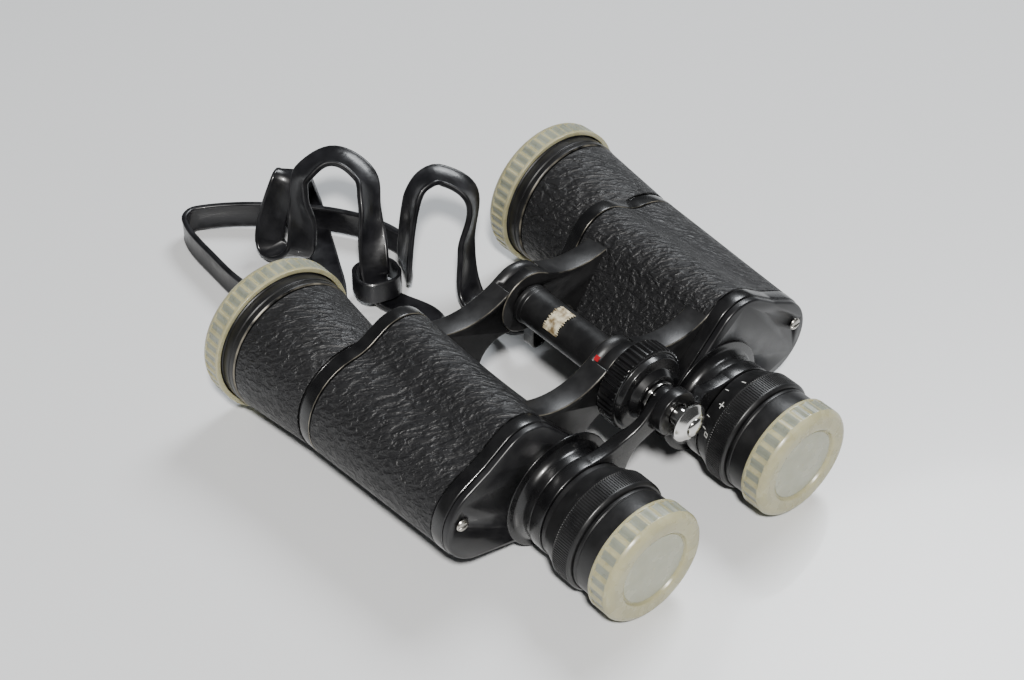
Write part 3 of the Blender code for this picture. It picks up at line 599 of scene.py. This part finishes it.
def neck_strap():
    """Flat vinyl strap, from the left eye round its loops to the right eye."""
    stations = smooth_route()
    spots = [spot for spot, _ in stations]
    rings = []
    for k, (spot, width) in enumerate(stations):
        along = heading(spots, k)
        across = (width - along * width.dot(along)).normalized()
        out = along.cross(across)
        rings.append([(spot + across * u + out * v) / MM for u, v in strap_profile()])
    strap = stacked("strap", rings, strap_vinyl(), smooth=75.0)
    place(strap, "left_half", "neck_strap", slot="strap_vinyl")
    keeper = strap_keeper()
    length = sum((b - a).length for a, b in zip(spots, spots[1:]))
    [tuple(spot) for spot in spots]


def strap_keeper():
    """Closed loop of the same vinyl round the strap's rising leg."""
    x, y = KEEPER_MIDDLE
    turn = math.radians(-15)
    along = Vector((math.cos(turn), math.sin(turn), 0.0))
    across = Vector((-along.y, along.x, 0.0))
    low, high, wall, soften = 4.2, 12.4, 1.2, 0.35
    stations = [(inset, z) for inset, z in ((soften, low), (0.0, low + soften), (0.0, high - soften),
                                            (soften, high), (wall - soften, high), (wall, high - soften),
                                            (wall, low + soften), (wall - soften, low))]
    rings = []
    for inset, z in stations:
        corners = rounded_box(7.9 - inset, 7.1 - inset, 5.6 - inset)
        rings.append([Vector((x, y, z)) + along * u + across * v for u, v in corners])
    return place(stacked("strap_loop", rings, strap_vinyl(), hollow=True), "left_half", "strap_keeper",
                 slot="strap_vinyl")


def rounded_box(half_length, half_depth, radius, steps=8):
    """Rectangle with round corners, anticlockwise."""
    points = []
    for k, (u, v) in enumerate(((1, 1), (-1, 1), (-1, -1), (1, -1))):
        for i in range(steps):
            angle = math.pi / 2 * (k + i / (steps - 1))
            points.append((u * (half_length - radius) + radius * math.cos(angle),
                           v * (half_depth - radius) + radius * math.sin(angle)))
    return points


# ---------------------------------------------------------------- prism housings

def soft_edges(front, rear, soften, steps=4):
    """(y, growth) stations of a slab with rounded edges, front to rear."""
    curve = []
    for k in range(steps):
        angle = math.pi / 2 * k / (steps - 1)
        curve.append((soften * (1 - math.cos(angle)), -soften * (1 - math.sin(angle))))
    return [(front - run, grow) for run, grow in curve] + [(rear + run, grow) for run, grow in reversed(curve)]


def plug(radius, y_span, x, z, steps=FINE):
    rings = [circle(x, z, radius, y, steps) for y in y_span]
    return stacked("plug", rings, gloss_paint())


def bar(x_span, y_span, z_span, finish):
    rings = [[(x_span[0], y, z_span[0]), (x_span[1], y, z_span[0]),
              (x_span[1], y, z_span[1]), (x_span[0], y, z_span[1])] for y in y_span]
    return stacked("bar", rings, finish)


def lug_outline(knuckle_r, low_r, high_r, top_x, top_r, grow):
    """Outline of a hinge arm, from its knuckle into the side of the housing."""
    knuckle = (0.0, HINGE_Z, knuckle_r)
    low = (EYE_X, EYE_Z, 12.0)
    high = (top_x, 38.0, top_r)
    lobes = [knuckle, hollow_between(knuckle, low, low_r), low, high, hollow_between(high, knuckle, high_r)]
    return tangent_outline([(x, z, r + grow) for x, z, r in lobes])


def front_lug(grow):
    return lug_outline(FRONT_LUG_R, 9.4, 31.0, 41.0, 10.0, grow)


def rear_lug(grow):
    return lug_outline(REAR_LUG_R, 16.5, 25.0, 42.0, 10.0, grow)


def hinge_arm(outline, lug_y, knuckle_r, side):
    """One hinge arm with its own knuckle, cut back round the other half's."""
    front, rear = lug_y
    stations = soft_edges(front, rear, 0.55)
    # Painted highlight: the faces after these rings, on the arm's rounded front and rear edges, get the bright edge
    # colour.
    highlit_rings = (1, len(stations) - 3)
    rings = [[(side * x, y, z) for x, z in outline(grow)] for y, grow in stations]
    arm = stacked("arm", rings, [satin_paint(), painted_edge_highlight()], place=lambda k, i: int(k in highlit_rings))
    middle = (front + rear) / 2
    other = (middle + 0.15, rear - 1) if side < 0 else (front + 1, middle - 0.15)
    return cut(arm, plug(knuckle_r + 0.3, other, 0, HINGE_Z), plug(4.9, (front + 1, rear - 1), 0, HINGE_Z))


def prism_housing(side):
    """Cast body: tapered shell, rear flange and two hinge arms."""
    half = half_name(side)
    depth = -SKIN_STEP - 2.0
    front = COVER_BACK_Y - 0.3
    outer = [(y, -SKIN_STEP) for y in spread(front, FLANGE_Y, 10)]
    flange = soft_edges(FLANGE_Y, HOUSING_END_Y, 0.45)
    inner = [(HOUSING_END_Y, depth), (front, depth)]
    stations = outer + flange + inner
    shell = stacked("shell", [section(y, grow, side) for y, grow in stations], gloss_paint(), hollow=True)
    arms = [hinge_arm(front_lug, FRONT_LUG_Y, FRONT_LUG_R, side),
            hinge_arm(rear_lug, REAR_LUG_Y, REAR_LUG_R, side)]
    body = joined(half + "_housing", [shell, *arms])
    place(body, half + "_half", half + "_prism_housing", slot="black_paint")


def housing_covering(side):
    """Leatherette sleeve round the housing, its ends rolled in."""
    half = half_name(side)
    stations = [(y, -0.1) for y in spread(COVER_BACK_Y - 0.7, FLANGE_Y + 0.4, 24)]
    front, rear = (COVER_BACK_Y - 0.6, -0.4), (FLANGE_Y + 0.3, -0.4)
    rings = [section(y, grow, side) for y, grow in [front] + stations + [rear]]
    rings += [section(y, -0.6, side) for y in (rear[0], front[0])]
    sleeve = stacked(half + "_covering", rings, leatherette(), hollow=True, smooth=60.0)
    place(sleeve, half + "_half", half + "_housing_covering", slot="leatherette")


def front_cover(side):
    """Flange plate that closes the housing, with the barrel's hole and the strap's eye."""
    half = half_name(side)
    stations = soft_edges(COVER_FRONT_Y, COVER_BACK_Y, 0.45)
    # Painted highlight: a bright line of colour on the plate's rounded rear edge.
    highlit_rings = (len(stations) - 3,)
    rings = [[(x, y, z) for x, _, z in section(COVER_BACK_Y, grow, side)] for y, grow in stations]
    plate = stacked("plate", rings, [gloss_paint(), painted_edge_highlight()], place=lambda k, i: int(k in highlit_rings))
    cut(plate, plug(15.0, (COVER_FRONT_Y + 1, COVER_BACK_Y - 1), side * OBJ_X, OBJ_Z))
    eye_x, eye_z = side * STRAP_EYE[0] / MM, STRAP_EYE[2] / MM
    loop = [[(eye_x + u, y, eye_z + v) for u, v in rounded_box(3.0 + grow, 7.0 + grow, 2.2 + grow)]
            for y, grow in stations]
    loop += [[(eye_x + u, y, eye_z + v) for u, v in rounded_box(1.6, 5.5, 1.2)]
             for y in (COVER_BACK_Y, COVER_FRONT_Y)]
    root_x = sorted((eye_x + side * 1.8, eye_x + side * 6.0))
    root = bevelled(bar(root_x, (COVER_FRONT_Y, COVER_BACK_Y), (eye_z - 5.8, eye_z + 7.0), gloss_paint()), 0.4)
    cover = joined(half + "_front_plate", [plate, stacked("eye", loop, gloss_paint(), hollow=True), root])
    place(cover, half + "_half", half + "_front_cover", slot="black_paint")


def rear_cover(side):
    """Charcoal plate with the glossy turret that guides the eyepiece barrel."""
    half = half_name(side)
    stations = [(HOUSING_END_Y - 0.3, -0.3), (PLATE_Y + 0.75, -0.3), (PLATE_Y + 0.45, -0.36),
                (PLATE_Y + 0.2, -0.52), (PLATE_Y, -0.95)]
    plate = stacked("plate", [section(y, grow, side) for y, grow in stations], charcoal_paint())
    axis = (side * EYE_X, EYE_Z)
    cut(plate, plug(13.5, (HOUSING_END_Y + 2, PLATE_Y - 2), *axis),
        plug(1.5, (HOUSING_END_Y + 2, PLATE_Y - 2), side * SCREW_X, SCREW_Z))
    turret = turned("turret", [(19.4, PLATE_Y + 0.3), (19.4, PLATE_Y - 0.35), (17.0, PLATE_Y - 0.5),
                               (15.9, PLATE_Y - 1.6), (15.4, PLATE_Y - 2.6), (15.4, TURRET_END_Y),
                               (13.5, TURRET_END_Y), (13.5, PLATE_Y + 0.3)], axis, gloss_paint(), soften=0.5)
    cover = joined(half + "_rear_plate", [plate, turret])
    place(cover, half + "_half", half + "_rear_cover", slot="charcoal_paint")


SCREW_X, SCREW_Z = middle_of("right_cover_screw")[0], middle_of("right_cover_screw")[2]


def cover_screw(side):
    """Domed slotted screw that holds the rear cover."""
    half = half_name(side)
    head = PLATE_Y - 1.2
    screw = turned("screw", [(0.1, head), (1.2, head + 0.05), (1.8, head + 0.3), (2.1, head + 0.75),
                             (2.1, PLATE_Y - 0.3), (1.2, PLATE_Y - 0.3), (1.2, PLATE_Y + 3.7), (0.1, PLATE_Y + 3.7)],
                   (side * SCREW_X, SCREW_Z), nickel(), 48, soften=0.1, hollow=False)
    slot = bar((side * SCREW_X - 3, side * SCREW_X + 3), (head - 1, head + 0.5), (SCREW_Z - 0.35, SCREW_Z + 0.35),
               nickel())
    cut(screw, slot).name = half + "_screw"
    place(screw, half + "_half", half + "_cover_screw", slot="nickel")


def nickel():
    return varied("nickel_plate", (0.42, 0.40, 0.36), (0.58, 0.56, 0.52), 0.28, 0.08, 600.0, 0.00005, metallic=1.0)


# ---------------------------------------------------------------- objectives

LEATHER_END_Y = 59.4


def objective(side):
    """Conical tube, its leatherette, and the bezel with its grooves."""
    half = half_name(side)
    body = half + "_half"
    axis = (side * OBJ_X, OBJ_Z)
    base = COVER_FRONT_Y + 0.3
    tube = turned(half + "_tube", [(18.4, base), (21.6, LEATHER_END_Y), (21.6, 68.0), (20.0, 68.0),
                                   (20.0, 57.0), (13.2, 33.5), (13.2, COVER_BACK_Y + 1.5),
                                   (14.7, COVER_BACK_Y + 1.5), (14.7, base)], axis, gloss_paint())
    place(tube, body, half + "_objective_barrel", slot="black_paint")
    front, rear = LEATHER_END_Y - 0.3, COVER_FRONT_Y + 0.6
    cloth = turned(half + "_tube_covering", [(22.4, front), (19.25, rear), (18.75, rear), (21.9, front)], axis,
                   leatherette(), soften=0.2)
    place(cloth, body, half + "_barrel_covering", slot="leatherette")
    # Painted highlight: a bright line of colour round the bezel's rear outer edge.
    bezel = turned(half + "_bezel", bezel_profile(), axis, [satin_paint(), painted_edge_highlight()], soften=0.14,
                   place=lambda spot, i: int(spot[1] < LEATHER_END_Y + 0.62 and spot[0] > 22.2))
    place(bezel, body, half + "_objective_bezel", slot="satin_black")


def bezel_profile():
    """Ring over the end of the barrel, with two fine grooves; front is last."""
    rear, lip, front = LEATHER_END_Y + 0.3, 68.3, 70.7
    outside = [(22.3, rear), (22.75, rear + 0.5)]
    for groove in (62.0, 65.4):
        outside += [(22.8, groove - 0.3), (22.45, groove), (22.8, groove + 0.3)]
    outside += [(22.8, front - 0.6), (22.4, front)]
    return outside + [(18.4, front), (19.0, lip), (22.0, lip), (22.0, rear)]


def lens(node, body, front, rear):
    """Lens between two spherical faces, given as (edge station, centre station)."""
    low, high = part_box(node)
    x, _, z = middle_of(node)
    radius = (high[2] - low[2]) / 2 / MM
    shares = [k / 12 for k in range(1, 13)]
    profile = [(radius * t, front[1] + (front[0] - front[1]) * t * t) for t in shares]
    profile += [(radius * t, rear[1] + (rear[0] - rear[1]) * t * t) for t in reversed(shares)]
    piece = turned(node.replace("objective", "front").replace("lens", "glass"), profile, (x, z), glass(), 96,
                   soften=0, hollow=False)
    place(piece, body, node, slot="glass")


def groove_depth(angle, count, depth):
    """Inward ripple of count grooves with rounded lips."""
    wave = math.cos(angle * count)
    return -depth * min(1.0, max(0.0, 0.6 - 1.6 * wave))


def push_on_cap(node, flutes, rim, face_y, mouth, body):
    """Soft cap: rounded rim round a sunk disc, and a skirt of windows between ribs."""
    low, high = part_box(node)
    x, _, z = middle_of(node)
    wall_r = (high[2] - low[2]) / 2 / MM
    depth = (high[1] - low[1]) / MM
    face_r = wall_r - rim
    disc_r = 0.62 * wall_r
    profile = [(0.02 * face_r, 0.9), (disc_r, 0.9), (disc_r + 0.2, 1.25), (disc_r + 0.55, 1.25),
               (disc_r + 0.9, 0.35), (disc_r + 1.9, 0.05), (face_r - 0.9, 0.0), (face_r + 0.1 * rim, 0.35),
               (face_r + 0.65 * rim, 1.1), (wall_r - 0.1, 1.9), (wall_r, 2.3),
               (wall_r - 0.02, depth - 1.2), (wall_r, depth - 0.9), (wall_r, depth),
               (wall_r - 1.5, depth), (wall_r - 1.5, 2.6), (0.02 * face_r, 2.6)]
    steps_each = 8
    skirt = (2.2, depth - 0.95)

    def inwards(y):
        return (y - face_y) * mouth

    def ripples(radius, y):
        if radius > wall_r - 0.3 and skirt[0] < inwards(y) < skirt[1]:
            return lambda angle: groove_depth(angle - 1.1 / flutes, flutes, 0.4)
        return None

    def finish_of(spot, i):
        if spot[0] > wall_r - 0.3 and skirt[0] < inwards(spot[1]) < skirt[1] - 0.2:
            return int(1 <= i % steps_each <= 5)
        return 2 if spot[0] < disc_r + 0.1 and inwards(spot[1]) < 1.0 else 0

    made = turned(node.replace("cap", "cover"), [(r, face_y + mouth * d) for r, d in profile], (x, z),
                  [cap_cream(), cap_window(), cap_disc()], flutes * steps_each, soften=0.25, hollow=False,
                  ripples=ripples, place=finish_of)
    place(made, body, node, slot="cap_vinyl")


# ---------------------------------------------------------------- eyepieces

def eyepiece_ring(side, node, body):
    """Outer ring of an eyepiece: plain collar, flare and a finely knurled band."""
    low, high = span_of(node, 1)
    rear = low
    profile = [(15.9, high), (15.9, rear + 12.8), (18.0, rear + 7.7), (18.4, rear + 7.2), (18.45, rear + 6.6),
               (18.45, rear + 1.4), (18.4, rear + 0.8), (17.7, rear), (13.5, rear), (13.5, high)]

    def knurl(radius, y):
        if radius > 18.2 and rear + 1.2 < y < rear + 6.8:
            return lambda angle: groove_depth(angle, KNURLS, 0.22)
        return None

    ring = turned(node.replace("ring", "collar"), profile, (side * EYE_X, EYE_Z), satin_paint(), KNURLS * 6,
                  soften=0.3, ripples=knurl)
    place(ring, body, node, slot="black_paint")


def mark(strokes, turn, y):
    """White strokes on the dioptre ring: turn is degrees from straight up, sizes in millimetres.

    Each stroke is (turn offset, y offset, length along the turn, length along Y).
    """
    white = plain("dial_white", (0.62, 0.62, 0.60), 0.5)
    pieces = []
    for across, along, wide, tall in strokes:
        rings = []
        for k in range(4):
            spot_turn = math.radians(turn) + (across + wide * (k / 3 - 0.5)) / 17.0
            ring = []
            for lift, end in ((0.02, -1), (0.10, -1), (0.10, 1), (0.02, 1)):
                spot_y = y + along + end * tall / 2
                reach = flare_radius(spot_y) + lift
                ring.append((EYE_X + reach * math.sin(spot_turn), spot_y, EYE_Z + reach * math.cos(spot_turn)))
            rings.append(ring)
        pieces.append(stacked("stroke", rings, white))
    return pieces


def flare_radius(y):
    """Radius of the dioptre ring where its collar flares out to the knurled band."""
    rear = span_of("dioptre_ring", 1)[0]
    inwards = y - rear
    if inwards > 12.8:
        return 15.9
    return 15.9 + (18.0 - 15.9) * (12.8 - inwards) / (12.8 - 7.7)


def dioptre_marks():
    """Plus, zero and minus of the dioptre scale, with a tick between them."""
    rear = span_of("dioptre_ring", 1)[0]
    y = rear + 9.0
    plus = [(0.0, 0.0, 2.2, 0.32), (0.0, 0.0, 0.32, 2.2)]
    minus = [(0.0, 0.0, 0.32, 1.6)]
    tick = [(0.0, 0.0, 0.3, 2.4)]
    zero = [(-0.55, 0.0, 0.3, 1.5), (0.55, 0.0, 0.3, 1.5), (0.0, 0.75, 1.1, 0.3), (0.0, -0.75, 1.1, 0.3)]
    strokes = mark(plus, -40, y) + mark(minus, -8, y) + mark(zero, -74, y) + mark(tick, -70, rear + 11.2)
    strokes += mark([(0.0, 0.0, 0.25, 1.4)], -57, rear + 11.4) + mark([(0.0, 0.0, 0.25, 1.4)], -24, rear + 11.4)
    place(joined("dioptre_scale", strokes), "dioptre_ring")


def eyecup(side, body):
    """Smooth cup over the eye lens, with a fine groove near its root."""
    half = half_name(side)
    low, high = span_of(half + "_eyecup", 1)
    profile = [(17.2, high), (17.2, high - 1.0), (16.9, high - 1.25), (17.2, high - 1.5), (17.2, low),
               (15.6, low), (15.2, high - 3.2), (10.4, high - 3.2), (10.4, high)]
    cup = turned(half + "_cup", profile, (side * EYE_X, EYE_Z), satin_paint(), soften=0.25)
    place(cup, body, half + "_eyecup", slot="satin_black")


def arm_edge(reach, a_radius, b_radius, length, along):
    """Offset, from the line between two discs, of a hollow edge of radius reach that meets both."""
    to_a, to_b = a_radius + reach, b_radius + reach
    run = (to_a ** 2 - to_b ** 2 + length ** 2) / (2 * length)
    rise = math.sqrt(to_a ** 2 - run ** 2)
    return rise - math.sqrt(reach ** 2 - (along - run) ** 2)


BRIDGE_RING_Y, BRIDGE_RING_R = (-38.8, -43.3), 16.3
ARM_Y = {-1: (-41.0, -44.2), 1: (-44.5, -48.2)}
HUB_R = {-1: 5.7, 1: 7.2}


def bridge_arm(side):
    """Hub on the focusing spindle, ring clamped on the eyepiece barrel, and the arm between."""
    half = half_name(side)
    hub, ring = Vector((0.0, HINGE_Z)), Vector((EYE_X, EYE_Z))
    length = (ring - hub).length
    along = (ring - hub).normalized()
    up = Vector((-along.y, along.x))
    front_y, rear_y = ARM_Y[side]
    rings = []
    for run in spread(0.0, 26.0, 40):
        top = arm_edge(25.0, 6.0, BRIDGE_RING_R, length, run)
        low = -min(9.4, arm_edge(15.0, 6.0, BRIDGE_RING_R, length, run))
        blend = min(1.0, max(0.0, (run - 7.5) / 10.5))
        blend = blend * blend * (3 - 2 * blend)
        front = front_y + (BRIDGE_RING_Y[0] - front_y) * blend
        rear = rear_y + (BRIDGE_RING_Y[1] - rear_y) * blend
        middle, half_deep = Vector(((top + low) / 2, (front + rear) / 2)), ((top - low) / 2, (front - rear) / 2)
        ring_points = []
        for u, v in rounded_box(half_deep[0], half_deep[1], 0.8, 5):
            spot = hub + along * run + up * (middle.x + u)
            ring_points.append((side * spot.x, middle.y + v, spot.y))
        rings.append(ring_points)
    arm = stacked("arm", rings, gloss_paint(), smooth=60.0)
    cut(arm, plug(13.5, (-36, -48), side * EYE_X, EYE_Z), plug(3.3, (-36, -52), 0, HINGE_Z))
    hub_disc = turned("hub", [(HUB_R[side], front_y), (HUB_R[side], rear_y), (3.3, rear_y), (3.3, front_y)],
                      (0.0, HINGE_Z), gloss_paint(), soften=0.35)
    front, rear = BRIDGE_RING_Y
    collar = turned("collar", [(BRIDGE_RING_R, front), (BRIDGE_RING_R, rear), (13.5, rear), (13.5, front)],
                    (side * EYE_X, EYE_Z), gloss_paint(), soften=0.45)
    place(joined(half + "_bridge", [arm, hub_disc, collar]), half + "_eyepiece", half + "_bridge_arm",
          slot="black_paint")


# ---------------------------------------------------------------- hinge and focusing

def hinge():
    axis = (0.0, HINGE_Z)
    front, rear = FRONT_LUG_Y[1] - 0.3, REAR_LUG_Y[0] + 0.3
    profile = [(6.5, front), (6.5, front - 1.2), (6.25, front - 1.4), (6.25, front - 2.6), (6.1, front - 2.8),
               (6.17, rear + 1.4), (6.35, rear + 1.2), (6.35, rear), (4.9, rear), (4.9, front)]
    place(turned("tube_cover", profile, axis, satin_paint(), soften=0.12), "left_half", "hinge_tube",
          slot="satin_black")
    cap = [(0.1, 28.0), (3.0, 28.0), (5.0, 27.6), (6.6, 26.7), (7.2, 25.6), (7.2, 24.7), (3.1, 24.7),
           (3.1, 17.0), (0.1, 17.0)]
    place(turned("hinge_end_cap", cap, axis, satin_paint(), 96, hollow=False), "left_half", "hinge_cap_screw",
          slot="satin_black")


def focus_train():
    axis = (0.0, HINGE_Z)
    front, rear = -28.7, -35.3
    wheel_r = 13.6

    def ribs(radius, y):
        if radius > wheel_r - 0.4 and rear + 0.2 < y < front - 0.2:
            return lambda angle: groove_depth(angle, WHEEL_RIBS, 1.0)
        return None

    wheel = [(8.0, REAR_LUG_Y[1] - 0.3), (8.0, front), (wheel_r - 0.5, front), (wheel_r, front - 0.5),
             (wheel_r, rear + 0.5), (wheel_r - 0.6, rear), (12.3, rear), (11.9, rear - 1.8), (8.6, rear - 1.8),
             (7.2, rear - 3.9), (3.3, rear - 3.9), (3.3, REAR_LUG_Y[1] - 0.3)]
    place(turned("wheel", wheel, axis, gloss_paint(), WHEEL_RIBS * 8, soften=0.22, ripples=ribs), "focus_wheel",
          "focus_wheel", slot="black_paint")
    collar = [(5.9, -39.6), (5.9, -40.7), (3.3, -40.7), (3.3, -39.6)]
    place(turned("wheel_collar", collar, axis, chrome(), 96, soften=0.2), "focus_spindle", "focus_collar",
          slot="chrome")
    spindle = [(0.1, -8.0), (3.0, -8.0), (3.0, -51.3), (0.1, -51.3)]
    place(turned("spindle", spindle, axis, chrome(), 64, hollow=False), "focus_spindle", "focus_spindle",
          slot="chrome")
    dome = [(3.0 * math.cos(math.radians(a)), -55.2 - 1.3 * math.sin(math.radians(a))) for a in range(0, 90, 9)]
    screw = [(0.1, -51.6), (3.6, -51.6), (6.1, -52.5), (6.1, -53.1), (5.7, -53.3), (4.3, -54.9), (3.2, -55.2)]
    screw += dome + [(0.1, -56.5)]
    place(turned("end_screw", screw, axis, chrome(), 96, soften=0, hollow=False), "focus_spindle",
          "spindle_end_screw", slot="chrome")


def curved_patch(name, radius, thick, y_span, turn_span, finish, tear=0.0, steps=40):
    """Thin piece lying on the hinge line, its ends torn by up to tear; angles from straight up."""
    rings = []
    for k in range(steps):
        turn = math.radians(turn_span[0] + (turn_span[1] - turn_span[0]) * k / (steps - 1))
        torn = [tear * (math.sin(k * a) + 0.6 * math.sin(k * b + 1.3)) for a, b in ((1.1, 2.7), (0.9, 3.1))]
        front, rear = y_span[0] - abs(torn[0]), y_span[1] + abs(torn[1])
        ring = []
        for r, y in ((radius, front), (radius + thick, front), (radius + thick, rear), (radius, rear)):
            ring.append((r * math.sin(turn), y, HINGE_Z + r * math.cos(turn)))
        rings.append(ring)
    return stacked(name, rings, finish, smooth=50.0)


def markings():
    red = varied("red_enamel", (0.22, 0.006, 0.010), (0.36, 0.010, 0.016), 0.4, 0.05, 900.0, 0.0001)
    place(curved_patch("index_pip", REAR_LUG_R + 0.3, 0.25, (-20.4, -22.0), (-50.0, -40.0), red), "left_half",
          "index_dot", slot="red_paint")
    label = curved_patch("torn_label", 6.48, 0.14, (3.4, -3.4), (-70.0, 12.0), aged_paper(), tear=0.9)
    place(label, "left_half", "paper_label", slot="paper")


# ---------------------------------------------------------------- whole object

def refinish_hidden():
    """Finishes of the CAD nodes that stay."""
    finishes = {"prism": prism_glass(), "clip": spring_steel(), "hinge_pin": spring_steel(),
                "eyepiece_barrel": gloss_paint()}
    for name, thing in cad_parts.items():
        for word, finish in finishes.items():
            if name.endswith(word):
                for each in thing.material_slots:
                    each.material = finish


def prism_glass():
    return varied("prism_glass", (0.55, 0.60, 0.58), (0.62, 0.66, 0.63), 0.08, 0.02, 300.0, 0.00001)


def spring_steel():
    return varied("bright_steel", (0.30, 0.31, 0.33), (0.40, 0.41, 0.43), 0.32, 0.06, 500.0, 0.00004, metallic=1.0)


def build_half(side):
    half = half_name(side)
    body = half + "_half"
    ocular = "right_ocular" if side > 0 else "left_eyepiece"
    prism_housing(side)
    housing_covering(side)
    front_cover(side)
    rear_cover(side)
    cover_screw(side)
    objective(side)
    lens(half + "_objective_crown", body, (65.6, 67.8), (64.2, 61.9))
    lens(half + "_objective_flint", body, (63.9, 61.6), (60.3, 60.0))
    bridge_arm(side)
    ring = "dioptre_ring" if side > 0 else "left_eyepiece_ring"
    eyepiece_ring(side, ring, "dioptre_ring" if side > 0 else "left_eyepiece")
    eyecup(side, ocular)
    shift = DIOPTRE_SHIFT if side > 0 else 0.0
    lens(half + "_field_lens", half + "_eyepiece", (-33.5, -31.6), (-35.0, -36.5))
    lens(half + "_eye_lens", ocular, (-59.2 + shift, -58.0 + shift), (-60.4 + shift, -61.4 + shift))
    push_on_cap(half + "_objective_cap", OBJ_FLUTES, 1.0, span_of(half + "_objective_cap", 1)[1], -1,
                half + "_objective_cap")
    push_on_cap(half + "_eyepiece_cap", EYE_FLUTES, 1.6, span_of(half + "_eyepiece_cap", 1)[0], 1,
                half + "_eyepiece_cap")


def main():
    camera()
    neck_strap()
    for side in (-1, 1):
        build_half(side)
    hinge()
    focus_train()
    dioptre_marks()
    markings()
    refinish_hidden()
    studio()
    floor()


main()
